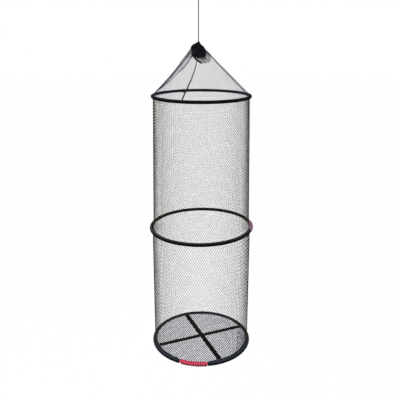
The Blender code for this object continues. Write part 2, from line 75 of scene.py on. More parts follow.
# The middle line of the three hoops, and the sizes that more than one class uses
AXIS_X = 0.0099
BINDING_RADIUS = 0.0065
WIRE_RADIUS = 0.0025
CLEARANCE = 0.0003

# A tube of three sides whose corners stand out this much is as wide as the twine, on average
TWINE_SIDES = 3
TWINE_CORNER = 2 * math.pi / (TWINE_SIDES * 2 * math.sin(math.pi / TWINE_SIDES))

# How fast the front of the net passes into its back at the sides
FRONT_STEEPNESS = 0.8


class Body(Enum):
    """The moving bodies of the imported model."""

    HANGER = "hanger"
    CORD = "cord"
    HEAD = "head"
    TOP = "top_ring"
    MIDDLE = "middle_ring"
    BOTTOM = "bottom_ring"


class Slot(Enum):
    """The material slots of the record."""

    CORD = "black_cord"
    TWINE = "netting_twine"
    HEM = "mouth_hem_tape"
    WIRE = "hoop_wire"
    FERRULE = "ferrule_steel"
    BINDING = "ring_binding"
    ROPE = "whipping_rope"
    WEBBING = "strap_webbing"
    THREAD = "stitch_thread"


class Relief(Enum):
    """How the surface of a finish stands up from its shape."""

    TWIST = "twist"
    WEAVE = "weave"
    BRUSHED = "brushed"


@dataclass(frozen=True)
class Ring:
    """One hoop: its body, and the circle that the middle of its wire follows."""

    name: str
    body: Body
    radius: float
    height: float


@dataclass(frozen=True)
class Fold:
    """How a soft piece closes up while the hoops stack: its joint, its still end, its share, none
    of which is used.
    """

    joint: str
    anchor_z: float
    keep: float


TOP = Ring("top", Body.TOP, 0.1765, -0.3856)
MIDDLE = Ring("middle", Body.MIDDLE, 0.1935, -0.8866)
BOTTOM = Ring("bottom", Body.BOTTOM, 0.1935, -1.3876)
CONE_FOLD = Fold("top_ring_lift", -0.2159, 0.2929)
UPPER_FOLD = Fold("middle_ring_lift", TOP.height, 0.0479)
LOWER_FOLD = Fold("bottom_ring_lift", MIDDLE.height, 0.0479)


def heading(turn: Array) -> Array:
    """The level unit vector (sin, -cos, 0) that points away from the net's middle line."""
    turn = np.asarray(turn, float)
    return np.stack([np.sin(turn), -np.cos(turn), np.zeros_like(turn)], axis=-1)


def unit(vectors: Array) -> Array:
    """The vectors, each divided by its length."""
    length = np.linalg.norm(vectors, axis=-1, keepdims=True)
    return vectors / np.maximum(length, LEAST_LENGTH)


def ease(share: Array) -> Array:
    """A smooth step: three squares less two cubes of a share held between 0 and 1."""
    held = np.clip(share, 0.0, 1.0)
    return held * held * (3 - 2 * held)


def front(turn: Array) -> Array:
    """One for a turn on the net's front, zero on its back, and a smooth step at the sides."""
    return ease(0.5 + FRONT_STEEPNESS * np.cos(turn))


def ripple(turn: Array, height: Array, seed: int, waves: int = 6) -> Array:
    """Low uneven waves, mostly between -1 and 1, that close up round the net.

    It is a sum of sines, each with a whole number of waves round the net, a number of
    waves down it and a phase, drawn from the seed.

    Args:
        turn: Turns in radians.
        height: Heights in metres.
        seed: The seed of the draw.
        waves: How many sines are added up.

    Returns:
        The sum divided by the root of the number of waves.
    """
    rng = np.random.default_rng(seed)
    total = np.zeros(np.broadcast(turn, height).shape)
    for _ in range(waves):
        around, down = rng.integers(1, 6), rng.uniform(3.0, 20.0)
        total += np.sin(around * turn + down * height + rng.uniform(0, 2 * math.pi))
    return total / math.sqrt(waves)


def stand(
    radius: Array | float, turn: Array, height: Array, shift: Array | float = AXIS_X
) -> Array:
    """Points that stand round an upright line.

    Args:
        radius: Metres out from the line.
        turn: Turns in radians.
        height: Heights in metres.
        shift: How far the line is to the right of the origin.

    Returns:
        Points, with one more axis than turn.
    """
    points = np.asarray(radius)[..., None] * heading(turn)
    points[..., 0] += shift
    points[..., 2] = height
    return points


def plumb(height: Array) -> Array:
    """Points straight under the origin, at the given heights."""
    return np.stack([np.zeros_like(height), np.zeros_like(height), height], axis=-1)


def tilted(across: Array, down: Array, tilt: float) -> tuple[Array, Array]:
    """A place on a flat net, after the net is turned in its plane by tilt."""
    return (across * math.cos(tilt) - down * math.sin(tilt),
            across * math.sin(tilt) + down * math.cos(tilt))


def angles(count: int) -> Array:
    """A whole turn in equal steps, without its end."""
    return 2 * math.pi * np.arange(count) / count


def sweep(
    path: Array, normal: Array, radius: Array | float, sides: int, wide: float = 1.0
) -> Array:
    """Rings of points round a path.

    A ring's point at angle a lies at the path plus radius times (cos a times up plus
    sin a times side), where side is the tangent crossed with the normal.

    Args:
        path: Points, of shape (..., K, 3).
        normal: Vectors that say which way up points, of the same shape or one vector.
        radius: One number, or an array that fits the shape (..., K, sides).
        sides: Points in each ring.
        wide: How much wider than high the section is.

    Returns:
        Points of shape (..., K, sides, 3), in order round each ring.
    """
    tangent = unit(np.gradient(path, axis=-2))
    side = unit(np.cross(tangent, np.broadcast_to(normal, path.shape)))
    up = np.cross(side, tangent)
    angle = angles(sides)[:, None]
    spokes = np.cos(angle) * up[..., None, :] + wide * np.sin(angle) * side[..., None, :]
    reach = np.broadcast_to(radius, (*path.shape[:-1], sides))
    return path[..., None, :] + reach[..., None] * spokes


def run_length(path: Array) -> Array:
    """Metres travelled along each path, from 0 at its first point."""
    steps = np.linalg.norm(np.diff(path, axis=-2), axis=-1)
    return np.concatenate([np.zeros((*steps.shape[:-1], 1)), np.cumsum(steps, axis=-1)], axis=-1)


def link(name: str, data: bpy.types.ID) -> bpy.types.Object:
    """A new object of this data, in the scene."""
    thing = bpy.data.objects.new(name, data)
    bpy.context.scene.collection.objects.link(thing)
    return thing


class Skin:
    """Collects tubes and grids of points, and makes them one mesh object."""

    def __init__(self) -> None:
        """Start with nothing."""
        self.points: list[Array] = []
        self.faces: list[list[int]] = []
        self.uvs: list[Array] = []
        self.count = 0

    def add_tubes(
        self, rings: Array, along: Array, keep: Array | None = None, closed: bool = False
    ) -> "Skin":
        """Add tubes, each a row of rings joined by quads, with a cap at each end.

        Args:
            rings: Points of shape (P, K, J, 3): P tubes of K rings with J points.
            along: Metres along each tube at its rings, of shape (P, K).
            keep: Which of the K - 1 stretches between rings are there. All, if None.
            closed: Whether each tube's last ring joins its first.

        Returns:
            The skin itself.
        """
        tubes, length, sides, _ = rings.shape
        index = np.arange(tubes * length * sides).reshape(tubes, length, sides)
        if closed:
            index = np.concatenate([index, index[:, :1]], axis=1)
            step = along[:, -1:] - along[:, -2:-1]
            along = np.concatenate([along, along[:, -1:] + step], axis=1)
        turned = np.roll(index, -1, axis=2)
        quads = np.stack([index[:, :-1], turned[:, :-1], turned[:, 1:], index[:, 1:]], axis=-1)
        around = np.arange(sides) / sides
        near, far = along[:, :-1, None], along[:, 1:, None]
        u = np.stack(np.broadcast_arrays(near, near, far, far), axis=-1)
        u = np.broadcast_to(u, quads.shape)
        v = np.stack([around, around + 1 / sides, around + 1 / sides, around], axis=-1)
        uv = np.stack([u, np.broadcast_to(v, quads.shape)], axis=-1)
        kept = np.ones(quads.shape[:2], bool) if keep is None else keep
        faces = quads[kept].reshape(-1, 4).tolist()
        uvs = [uv[kept].reshape(-1, 2)]
        if not closed:
            edge = np.zeros((tubes, 1), bool)
            starts = kept & ~np.concatenate([edge, kept[:, :-1]], axis=1)
            ends = kept & ~np.concatenate([kept[:, 1:], edge], axis=1)
            first, last = index[:, :-1][starts][:, ::-1], index[:, 1:][ends]
            faces += first.tolist() + last.tolist()
            for caps, place in ((first, along[:, :-1][starts]), (last, along[:, 1:][ends])):
                flat = np.stack(np.broadcast_arrays(place[:, None], around[None, :]), axis=-1)
                uvs.append(flat.reshape(-1, 2))
        self.faces += [[corner + self.count for corner in face] for face in faces]
        self.points.append(rings.reshape(-1, 3))
        self.uvs += uvs
        self.count += tubes * length * sides
        return self

    def add_tube(self, rings: Array, closed: bool = False) -> "Skin":
        """Add one tube of rings, of shape (K, J, 3), measured along its middle."""
        middle = rings.mean(axis=1)
        return self.add_tubes(rings[None], run_length(middle)[None], closed=closed)

    def make(self, name: str) -> bpy.types.Object:
        """Make the mesh object, with the points that no face uses left out.

        Args:
            name: The new object's name.

        Returns:
            The object, smooth and linked into the scene.
        """
        sizes = np.array([len(face) for face in self.faces])
        corners = np.concatenate([np.asarray(face) for face in self.faces])
        used, place = np.unique(corners, return_inverse=True)
        starts = np.concatenate([[0], np.cumsum(sizes)[:-1]])
        points = np.concatenate(self.points)[used]
        mesh = bpy.data.meshes.new(name)
        mesh.vertices.add(len(points))
        mesh.vertices.foreach_set("co", points.ravel())
        mesh.loops.add(len(corners))
        mesh.loops.foreach_set("vertex_index", place.ravel())
        mesh.polygons.add(len(sizes))
        mesh.polygons.foreach_set("loop_start", starts)
        mesh.update(calc_edges=True)
        layer = mesh.uv_layers.new(name=UV_LAYER)
        layer.data.foreach_set("uv", np.concatenate(self.uvs).ravel())
        mesh.shade_smooth()
        return link(name, mesh)


@dataclass(frozen=True)
class Lattice:
    """A diamond net laid out flat, from strands that zigzag down it.

    Strand i swings between columns i and i + 1 at each half row, so it meets its left
    neighbour and its right one in turn, and runs on or under it for the length of a joint.

    Fields:
        cell, rise: Width and height of a diamond.
        twine: The twine's thickness.
        joint: Half the length of a joint.
        stacked: How far out of the net a joint's two strands lie, as a share of the twine.
        flat: How many times as wide as it is thick the twine lies.
    """

    cell: float
    rise: float
    twine: float
    joint: float = 0.0010
    stacked: float = 0.40
    flat: float = 1.0

    def strands(self, first: int, last: int, start: int, stop: int) -> tuple[Array, Array, Array]:
        """Where the strands run on the flat net.

        Args:
            first: The first strand.
            last: One past the last strand.
            start: The first half row.
            stop: The last half row.

        Returns:
            Metres across, down and out of the net, each of shape (strands, points).
        """
        strand = np.arange(first, last)[:, None]
        level = np.arange(start, stop + 1)[None, :]
        swing = (level - strand) % 2
        across = (strand + swing) * self.cell / 2
        down = np.broadcast_to(level * self.rise / 2, across.shape)
        out = self.stacked * self.twine * (1 - 2 * swing)
        pair = np.tile([-self.joint, self.joint], stop + 1 - start)
        across, down, out = (np.repeat(values, 2, axis=1) for values in (across, down, out))
        return across, down + pair, out

    def knit(
        self, first: int, last: int, start: int, stop: int, place: Place,
        inside: Region | None = None, skin: Skin | None = None,
    ) -> Skin:
        """Tubes of twine along the strands, laid on a surface and trimmed to a region.

        Where a strand leaves the region, its first point outside is drawn back to the edge.

        Args:
            first: The first strand.
            last: One past the last strand.
            start: The first half row.
            stop: The last half row.
            place: Gives the point and the outward normal of a place on the flat net.
            inside: Above zero where the net is there. Everywhere, if None.
            skin: Where the tubes are added. A new one, if None.

        Returns:
            The skin with the twine in it.
        """
        across, down, out = self.strands(first, last, start, stop)
        keep = None
        if inside is not None:
            value = inside(across, down)
            there = value > 0
            for way in (-1, 1):
                beyond = np.roll(value, way, axis=1)
                draw = ~there & (beyond > 0)
                draw[:, -1 if way == -1 else 0] = False
                share = np.where(draw, value / np.where(draw, value - beyond, 1.0), 0.0)
                across = across + share * (np.roll(across, way, axis=1) - across)
                down = down + share * (np.roll(down, way, axis=1) - down)
                value = np.where(draw, 0.0, value)
            near = np.zeros_like(there)
            near[:, :-1] |= there[:, 1:]
            near[:, 1:] |= there[:, :-1]
            keep = (there[:, :-1] | there[:, 1:]) & (there | near)[:, :-1] & (there | near)[:, 1:]
        points, normals = place(across, down)
        points = points + out[..., None] * normals
        radius = TWINE_CORNER * self.twine / 2 / self.flat
        rings = sweep(points, normals, radius, TWINE_SIDES, self.flat)
        return (skin or Skin()).add_tubes(rings, run_length(points), keep)


def put(tree: Tree, kind: str, inputs: dict | None = None, **settings: object) -> bpy.types.Node:
    """Add a node to a tree.

    Args:
        tree: The node tree.
        kind: The node's type name.
        inputs: What each input gets, by name or number: a socket to link, or a value.
        settings: Values for the node's own properties.

    Returns:
        The node.
    """
    node = tree.nodes.new(kind)
    for key, value in settings.items():
        setattr(node, key, value)
    for key, value in (inputs or {}).items():
        if isinstance(value, Socket):
            tree.links.new(value, node.inputs[key])
        else:
            node.inputs[key].default_value = value
    return node


def calc(tree: Tree, what: str, *values: object) -> Socket:
    """The output of a Math node that works on one, two or three values."""
    return put(tree, "ShaderNodeMath", dict(enumerate(values)), operation=what).outputs[0]


def spread(tree: Tree, value: object, low: float, high: float) -> Socket:
    """A value spread out between 0 at its low mark and 1 at its high one."""
    return put(tree, "ShaderNodeMapRange", {0: value, 1: low, 2: high}).outputs[0]


def blend_colour(tree: Tree, share: object, low: object, high: object) -> Socket:
    """The output of a colour Mix node, with how much of high there is in it."""
    return put(tree, "ShaderNodeMix", {0: share, 6: low, 7: high}, data_type="RGBA").outputs[2]


def bare_tree(owner: bpy.types.Material | bpy.types.World) -> Tree:
    """The node tree of a material or a world, with nothing in it."""
    owner.use_nodes = True
    owner.node_tree.nodes.clear()
    return owner.node_tree


class Groups:
    """The node groups that the finishes share, each built once.

    A group takes a place on the surface and its sizes, and puts out two numbers. Its own
    method, which has its name, works them out.
    """

    RELIEF = ("Height", "Groove")
    KINDS = {
        "twist": ("UV", {"Pitch": 0.003, "Strands": 3.0}, RELIEF),
        "weave": ("UV", {"Pitch": 0.001, "Girth": 0.03}, RELIEF),
        "brushed": ("Vector", {"Pitch": 0.001}, RELIEF),
        "mottle": ("Vector", {"Coarse": 20.0, "Fine": 400.0}, ("Mask", "Fibre")),
    }
    DETAIL = {"drawn": 4.0, "coarse": 3.0, "fine": 2.0}
    ROUND_TOP = 0.5
    STAGGER = 0.5
    LEAST_PICK = 0.5
    COARSE_SHARE = 0.6
    MOTTLE_EDGES = (0.38, 0.62)

    _made: dict[str, Tree] = {}

    @classmethod
    def get(cls, name: str) -> Tree:
        """The group of this name, built at its first use."""
        if name not in cls._made:
            cls._made[name] = cls._build(name, *cls.KINDS[name])
        return cls._made[name]

    @classmethod
    def _build(
        cls, name: str, source: str, sizes: dict[str, float], results: tuple[str, str]
    ) -> Tree:
        """Build a group with its named sockets.

        Args:
            name: The group's name.
            source: The name of its first input, the place on the surface.
            sizes: The names and first values of its other inputs.
            results: The names of its outputs.

        Returns:
            The group's tree.
        """
        tree = bpy.data.node_groups.new(name, "ShaderNodeTree")
        add = partial(tree.interface.new_socket, socket_type="NodeSocketFloat")
        add(source, in_out="INPUT", socket_type="NodeSocketVector")
        for label, value in sizes.items():
            add(label, in_out="INPUT").default_value = value
        for label in results:
            add(label, in_out="OUTPUT")
        numbers = getattr(cls, f"_{name}")(tree, put(tree, "NodeGroupInput").outputs)
        put(tree, "NodeGroupOutput", dict(zip(results, numbers)))
        return tree

    @staticmethod
    def _crest(tree: Tree, phase: Socket) -> Socket:
        """A round-topped wave: the sine of half a turn times what phase has past its whole."""
        return calc(tree, "SINE", calc(tree, "MULTIPLY", calc(tree, "FRACT", phase), math.pi))

    @classmethod
    def _noise(cls, tree: Tree, place: Socket, scale: Socket, grain: str) -> Socket:
        """Noise at a place, as detailed as its grain asks."""
        inputs = {"Vector": place, "Scale": scale, "Detail": cls.DETAIL[grain]}
        return put(tree, "ShaderNodeTexNoise", inputs).outputs[0]

    @staticmethod
    def _both(tree: Tree, height: Socket) -> Pair:
        """A relief's outputs: its height, and its groove, which is one less that."""
        return height, calc(tree, "SUBTRACT", 1.0, height)

    @classmethod
    def _twist(cls, tree: Tree, given: Outputs) -> Pair:
        """Strands laid round each other: the root of a wave of u / pitch plus strands * v.

        Args:
            tree: The group's tree.
            given: Its inputs.

        Returns:
            Height and groove.
        """
        u, v, _ = put(tree, "ShaderNodeSeparateXYZ", {0: given["UV"]}).outputs
        turns = calc(tree, "DIVIDE", u, given["Pitch"])
        phase = calc(tree, "ADD", turns, calc(tree, "MULTIPLY", v, given["Strands"]))
        return cls._both(tree, calc(tree, "POWER", cls._crest(tree, phase), cls.ROUND_TOP))

    @classmethod
    def _weave(cls, tree: Tree, given: Outputs) -> Pair:
        """A woven tape: warp ribs along u, with picks that lie half a rib out from row to row.

        The height is the rib's wave times what lies half way from the pick's wave to one.

        Args:
            tree: The group's tree.
            given: Its inputs.

        Returns:
            Height and groove.
        """
        u, v, _ = put(tree, "ShaderNodeSeparateXYZ", {0: given["UV"]}).outputs
        along = calc(tree, "DIVIDE", u, given["Pitch"])
        around = calc(tree, "MULTIPLY", v, given["Girth"])
        around = calc(tree, "DIVIDE", around, given["Pitch"])
        row = calc(tree, "MODULO", calc(tree, "FLOOR", around), 2.0)
        pick = calc(tree, "ADD", along, calc(tree, "MULTIPLY", row, cls.STAGGER))
        pick = calc(tree, "MULTIPLY_ADD", cls._crest(tree, pick), 1 - cls.LEAST_PICK,
                    cls.LEAST_PICK)
        return cls._both(tree, calc(tree, "MULTIPLY", cls._crest(tree, around), pick))

    @classmethod
    def _brushed(cls, tree: Tree, given: Outputs) -> Pair:
        """Fine drawn lines: noise of the height and of the distance from the upright axis.

        Args:
            tree: The group's tree.
            given: Its inputs.

        Returns:
            Height and groove.
        """
        x, y, z = put(tree, "ShaderNodeSeparateXYZ", {0: given["Vector"]}).outputs
        squares = (calc(tree, "MULTIPLY", side, side) for side in (x, y))
        reach = calc(tree, "SQRT", calc(tree, "ADD", *squares))
        across = put(tree, "ShaderNodeCombineXYZ", {0: reach, 1: 0.0, 2: z}).outputs[0]
        scale = calc(tree, "DIVIDE", 1.0, given["Pitch"])
        return cls._both(tree, cls._noise(tree, across, scale, "drawn"))

    @classmethod
    def _mottle(cls, tree: Tree, given: Outputs) -> Pair:
        """Uneven dye and dust: coarse and fine noise, squeezed round its middle.

        Args:
            tree: The group's tree.
            given: Its inputs.

        Returns:
            The mask, and the fine noise alone.
        """
        coarse = cls._noise(tree, given["Vector"], given["Coarse"], "coarse")
        fine = cls._noise(tree, given["Vector"], given["Fine"], "fine")
        rest = calc(tree, "MULTIPLY", fine, 1 - cls.COARSE_SHARE)
        mixed = calc(tree, "MULTIPLY_ADD", coarse, cls.COARSE_SHARE, rest)
        return spread(tree, mixed, *cls.MOTTLE_EDGES), fine


# Where a bound hoop's top, painted lighter as a highlight, and its side towards the net's middle,
# painted as shade on the lashings and as a highlight on the base's hem cord, lie round it, as v,
# and the cosines, of the angle from there, at which the masks of the two start and are full
PAINTED_HIGHLIGHT_SIDE = (0.0, 0.45, 0.95)
INNER_SIDE = (0.75, -0.1, 0.35)

# How far below a finish's height its under side, painted darker as shade, starts and is full
PAINTED_SHADE_EDGES = (-0.001, 0.004)

FIBRE_SHARE = 0.35
BUMP_STRENGTH = 0.8
BLACK = (0.0, 0.0, 0.0)
WHITE = (1.0, 1.0, 1.0)


def opaque(colour: Colour) -> tuple[float, float, float, float]:
    """A colour as a node takes it."""
    return (*colour, 1.0)


@dataclass(frozen=True)
class Finish:
    """One finish: its two colours, its relief and how it takes the light.

    Fields:
        fresh, worn: The colour in its clean places, and the one it mottles towards.
        inner, crown: Where they differ, the colours of a tube's side that faces the net's
        middle, painted as shade on the lashings and as a highlight on the base's hem cord, and of
        its upper side, painted lighter as a highlight.
        under, under_z: The painted shade of what lies lower than a height, where it differs.
        pitch, strands, girth: The size of the relief, as its node group takes it.
        depth: How high the relief's bump stands, in metres.
        groove: How much darker the bottom of the relief is painted, as shade in its grooves.
        coarse, fine: Scales of the mottling.
        rough, rough_spread: The roughness of its clean places, and what wear adds to it.
        metallic, specular, sheen, sheen_tint: How it takes the light otherwise.
    """

    name: str
    slot: Slot
    fresh: Colour
    worn: Colour
    relief: Relief = Relief.TWIST
    inner: Colour | None = None
    crown: Colour | None = None
    under: Colour | None = None
    under_z: float = 0.0
    pitch: float = 0.003
    strands: float = 3.0
    girth: float = 0.03
    depth: float = 0.0002
    groove: float = 0.5
    coarse: float = 25.0
    fine: float = 1500.0
    rough: float = 0.7
    rough_spread: float = 0.12
    metallic: float = 0.0
    sheen: float = 0.0
    sheen_tint: Colour = WHITE
    specular: float = 0.5

    def material(self) -> bpy.types.Material:
        """The finish as a material, built at its first use."""
        return bpy.data.materials.get(self.name) or self._build()

    def _build(self) -> bpy.types.Material:
        """Wire the relief, the mottling and the shader together.

        Returns:
            The new material.
        """
        material = bpy.data.materials.new(self.name)
        tree = bare_tree(material)
        place = put(tree, "ShaderNodeTexCoord").outputs["Object"]
        uv = put(tree, "ShaderNodeUVMap", uv_map=UV_LAYER).outputs[0]
        relief = self._relief(tree, place, uv)
        grain = {"Vector": place, "Coarse": self.coarse, "Fine": self.fine}
        mottle = put(tree, "ShaderNodeGroup", grain, node_tree=Groups.get("mottle")).outputs
        mask = mottle["Mask"]
        colour = blend_colour(tree, mask, opaque(self.fresh), opaque(self.worn))
        colour = self._painted_light_and_shade(tree, colour, place, uv)
        # Painted shade: the bottom of the relief is darkened towards black
        shade = calc(tree, "MULTIPLY", relief["Groove"], self.groove)
        height = calc(tree, "MULTIPLY_ADD", mottle["Fibre"], FIBRE_SHARE, relief["Height"])
        bump = {"Height": height, "Distance": self.depth, "Strength": BUMP_STRENGTH}
        shader = put(tree, "ShaderNodeBsdfPrincipled", {
            "Base Color": blend_colour(tree, shade, colour, opaque(BLACK)),
            "Roughness": calc(tree, "MULTIPLY_ADD", mask, self.rough_spread, self.rough),
            "Metallic": self.metallic,
            "Specular IOR Level": self.specular,
            "Sheen Weight": self.sheen,
            "Sheen Tint": opaque(self.sheen_tint),
            "Normal": put(tree, "ShaderNodeBump", bump).outputs[0],
        })
        put(tree, "ShaderNodeOutputMaterial", {0: shader.outputs[0]})
        return material

    def _relief(self, tree: Tree, place: Socket, uv: Socket) -> Outputs:
        """The node of this finish's relief.

        Args:
            tree: The material's tree.
            place: Object coordinates.
            uv: The tube's own coordinates.

        Returns:
            The node's outputs, Height and Groove.
        """
        inputs = {
            Relief.TWIST: {"UV": uv, "Pitch": self.pitch, "Strands": self.strands},
            Relief.WEAVE: {"UV": uv, "Pitch": self.pitch, "Girth": self.girth},
            Relief.BRUSHED: {"Vector": place, "Pitch": self.pitch},
        }[self.relief]
        group = Groups.get(self.relief.value)
        return put(tree, "ShaderNodeGroup", inputs, node_tree=group).outputs

    def _painted_light_and_shade(self, tree: Tree, colour: Socket, place: Socket, uv: Socket) -> Socket:
        """Lay painted light on the finish's own colour: a highlight on the upper side, shade below
        a height, and on the inner side shade on the lashings and a highlight on the base's hem
        cord.

        Args:
            tree: The material's tree.
            colour: The colour so far.
            place: Object coordinates.
            uv: The tube's own coordinates.

        Returns:
            The colour with those sides in it.
        """
        # The crown colour is a painted highlight on the upper side; the inner colour is painted
        # shade on the lashings and a painted highlight on the base's hem cord
        for over, side in ((self.crown, PAINTED_HIGHLIGHT_SIDE), (self.inner, INNER_SIDE)):
            if over is not None:
                colour = blend_colour(tree, self._facing(tree, uv, *side), colour, opaque(over))
        # Painted shade: what lies lower than under_z passes into the darker under colour
        if self.under is None:
            return colour
        height = put(tree, "ShaderNodeSeparateXYZ", {0: place}).outputs[2]
        low = spread(tree, calc(tree, "SUBTRACT", self.under_z, height), *PAINTED_SHADE_EDGES)
        return blend_colour(tree, low, colour, opaque(self.under))

    @staticmethod
    def _facing(tree: Tree, uv: Socket, side: float, low: float, high: float) -> Socket:
        """A mask of one side of a hoop's tube, from the cosine of the angle to that side.

        Args:
            tree: The material's tree.
            uv: The tube's own coordinates, with v once round it from its top.
            side: The v of the middle of that side: 0 is up, 0.75 is towards the net's middle.
            low: The cosine at which the mask starts.
            high: The cosine at which it is full.

        Returns:
            The mask.
        """
        around = put(tree, "ShaderNodeSeparateXYZ", {0: uv}).outputs[1]
        angle = calc(tree, "MULTIPLY", calc(tree, "SUBTRACT", around, side), 2 * math.pi)
        return spread(tree, calc(tree, "COSINE", angle), low, high)


class Finishes:
    """The finishes of this net, with colours in linear red, green and blue."""

    CORD = Finish(
        "black_braided_cord", Slot.CORD, (0.0030, 0.0030, 0.0040), (0.0085, 0.0085, 0.0100),
        pitch=0.0026, strands=4.0, depth=0.0001, rough=0.62, specular=0.08,
    )
    SLEEVE = Finish(
        "olive_black_twine", Slot.TWINE, (0.030, 0.0292, 0.0180), (0.055, 0.0535, 0.0340),
        pitch=0.0012, strands=2.0, depth=0.00005, groove=0.30, rough=0.65, specular=0.1,
    )
    FINE = Finish(
        "blue_black_twine", Slot.TWINE, (0.026, 0.031, 0.060), (0.052, 0.060, 0.103),
        pitch=0.0010, strands=2.0, depth=0.00005, groove=0.35, rough=0.65, specular=0.15,
    )
    BASE = replace(
        FINE, name="slate_twine", fresh=(0.038, 0.052, 0.132), worn=(0.074, 0.098, 0.192),
        pitch=0.0012,
    )
    BUNCH = Finish(
        "bunched_black_netting", Slot.TWINE, (0.0012, 0.0012, 0.0018), (0.0070, 0.0072, 0.0100),
        pitch=0.0030, strands=12.0, depth=0.0006, groove=0.8, coarse=160.0,
        rough=0.9, specular=0.03,
    )
    FRILL = Finish(
        "frilled_black_netting", Slot.TWINE, (0.0022, 0.0025, 0.0040), (0.0100, 0.0110, 0.0160),
        pitch=0.0012, strands=2.0, depth=0.00005, groove=0.35, coarse=60.0,
        rough=0.7, specular=0.06,
    )
    HEM = Finish(
        "black_hem_tape", Slot.HEM, (0.0025, 0.0025, 0.0030), (0.0080, 0.0080, 0.0090),
        Relief.WEAVE, pitch=0.0007, girth=0.012, depth=0.00012, rough=0.8, specular=0.06,
    )
    WIRE = Finish(
        "drawn_spring_wire", Slot.WIRE, (0.52, 0.53, 0.55), (0.30, 0.30, 0.31), Relief.BRUSHED,
        pitch=0.0004, depth=0.00004, groove=0.25, rough=0.3, metallic=1.0,
    )
    FERRULE = Finish(
        "pressed_steel_ferrule", Slot.FERRULE, (0.60, 0.60, 0.62), (0.36, 0.36, 0.37),
        Relief.BRUSHED, pitch=0.0007, depth=0.00005, groove=0.3, rough=0.28, metallic=1.0,
    )
    # The crown is a painted highlight on the lashing's upper side, and the inner colour is painted
    # shade on its side towards the net's middle
    BINDING = Finish(
        "navy_lashing_cord", Slot.BINDING, (0.0006, 0.0008, 0.0018), (0.0020, 0.0025, 0.0050),
        inner=(0.0006, 0.0006, 0.0009), crown=(0.0080, 0.0095, 0.0150),
        pitch=0.0050, strands=-1.0, depth=0.0003, groove=0.75, coarse=60.0,
        rough=0.6, specular=0.03,
    )
    # Copies of the lashing for the middle and the bottom hoop, with a stronger painted highlight
    # on their upper side
    MIDDLE_BINDING = replace(
        BINDING, name="black_lashing_cord_painted_highlight", fresh=(0.0005, 0.0006, 0.0008),
        worn=(0.0018, 0.0020, 0.0028), crown=(0.034, 0.040, 0.048), coarse=45.0,
    )
    LOW_BINDING = replace(
        BINDING, name="navy_lashing_cord_painted_highlight", fresh=(0.0025, 0.0036, 0.0075),
        worn=(0.0060, 0.0085, 0.0160), crown=(0.036, 0.042, 0.054),
    )
    # The crown is a painted highlight on the upper side of the turns, and the under colour is
    # painted shade on the rope's lower part
    ROPE = Finish(
        "crimson_satin_rope", Slot.ROPE, (0.38, 0.005, 0.024), (0.27, 0.002, 0.015),
        crown=(0.72, 0.078, 0.140), under=(0.110, 0.0026, 0.010), under_z=BOTTOM.height + 0.0050,
        pitch=0.0070, strands=3.0, depth=0.0005, groove=0.7, coarse=120.0,
        rough=0.5, sheen=0.08, sheen_tint=(1.0, 0.45, 0.60), specular=0.15,
    )
    # The middle whipping's rope: a darker, duller copy of the crimson rope as painted shade, with
    # a painted highlight on top and painted shade below
    SHADED_ROPE = Finish(
        "mauve_rope_painted_shade", Slot.ROPE, (0.140, 0.060, 0.095), (0.100, 0.036, 0.060),
        crown=(0.30, 0.165, 0.245), under=(0.050, 0.014, 0.026), under_z=MIDDLE.height - 0.002,
        pitch=0.0070, strands=3.0, depth=0.0005, groove=0.6, coarse=120.0,
        rough=0.55, sheen=0.2, sheen_tint=(1.0, 0.75, 0.90), specular=0.2,
    )
    # The crown and the inner colour are painted highlights: the hem cord's upper side and its side
    # towards the net's middle are painted lighter
    BASE_HEM = Finish(
        "slate_hem_cord_painted_highlight", Slot.BINDING, (0.016, 0.020, 0.030), (0.034, 0.042, 0.058),
        inner=(0.100, 0.120, 0.150), crown=(0.085, 0.100, 0.130), pitch=0.0042, strands=1.0,
        depth=0.0003, groove=0.7, coarse=70.0, rough=0.75, specular=0.03,
    )
    WEBBING = Finish(
        "black_webbing", Slot.WEBBING, (0.0012, 0.0013, 0.0020), (0.0040, 0.0042, 0.0060),
        Relief.WEAVE, pitch=0.0014, girth=0.0324, depth=0.0003, rough=0.8, specular=0.04,
    )
    THREAD = Finish(
        "black_stitch_thread", Slot.THREAD, (0.006, 0.006, 0.008), (0.020, 0.020, 0.024),
        pitch=0.0006, strands=2.0, depth=0.00005, rough=0.6, specular=0.15,
    )


def dress(
    skin: Skin, name: str, body: Body, finish: Finish, stands_for: tuple[str, ...] = (),
    fold: Fold | None = None,
) -> bpy.types.Object:
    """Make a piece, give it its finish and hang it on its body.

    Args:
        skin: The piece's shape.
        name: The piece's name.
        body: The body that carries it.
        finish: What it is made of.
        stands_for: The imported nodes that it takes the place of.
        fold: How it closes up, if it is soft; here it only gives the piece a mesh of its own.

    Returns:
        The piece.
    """
    piece = skin.make(name)
    piece.data.materials.append(finish.material())
    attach(piece, body.value)
    if stands_for:
        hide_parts(*stands_for)
    if fold:
        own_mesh(piece)
    LOG.info("%s: %d faces on %s", name, len(piece.data.polygons), body.value)
    return piece


def braided(
    path: Array, normal: Array, diameter: float, sides: int = 16, strands: int = 4,
    plait: float = 3.0, full: float = 1.12, ridge: float = 0.08,
) -> Array:
    """Rings of a braided cord.

    The radius is the cord's own and a little more, plus a small share of the higher of
    two sine waves that run round it in opposite ways.

    Args:
        path: Points down the cord's middle.
        normal: Which way up is, at each point.
        diameter: The cord's diameter.
        sides: Points in each ring.
        strands: How many strands go each way.
        plait: The diameters in which a strand goes round once.
        full: The radius half way up the strands, as a share of the cord's.
        ridge: How much of the cord's radius they stand up and lie deep.

    Returns:
        The rings.
    """
    around = strands * angles(sides)
    along = run_length(path)[..., None] * 2 * math.pi / (plait * diameter)
    crossed = np.maximum(np.sin(around + along), np.sin(around - along))
    return sweep(path, normal, diameter / 2 * (full + ridge * crossed), sides)


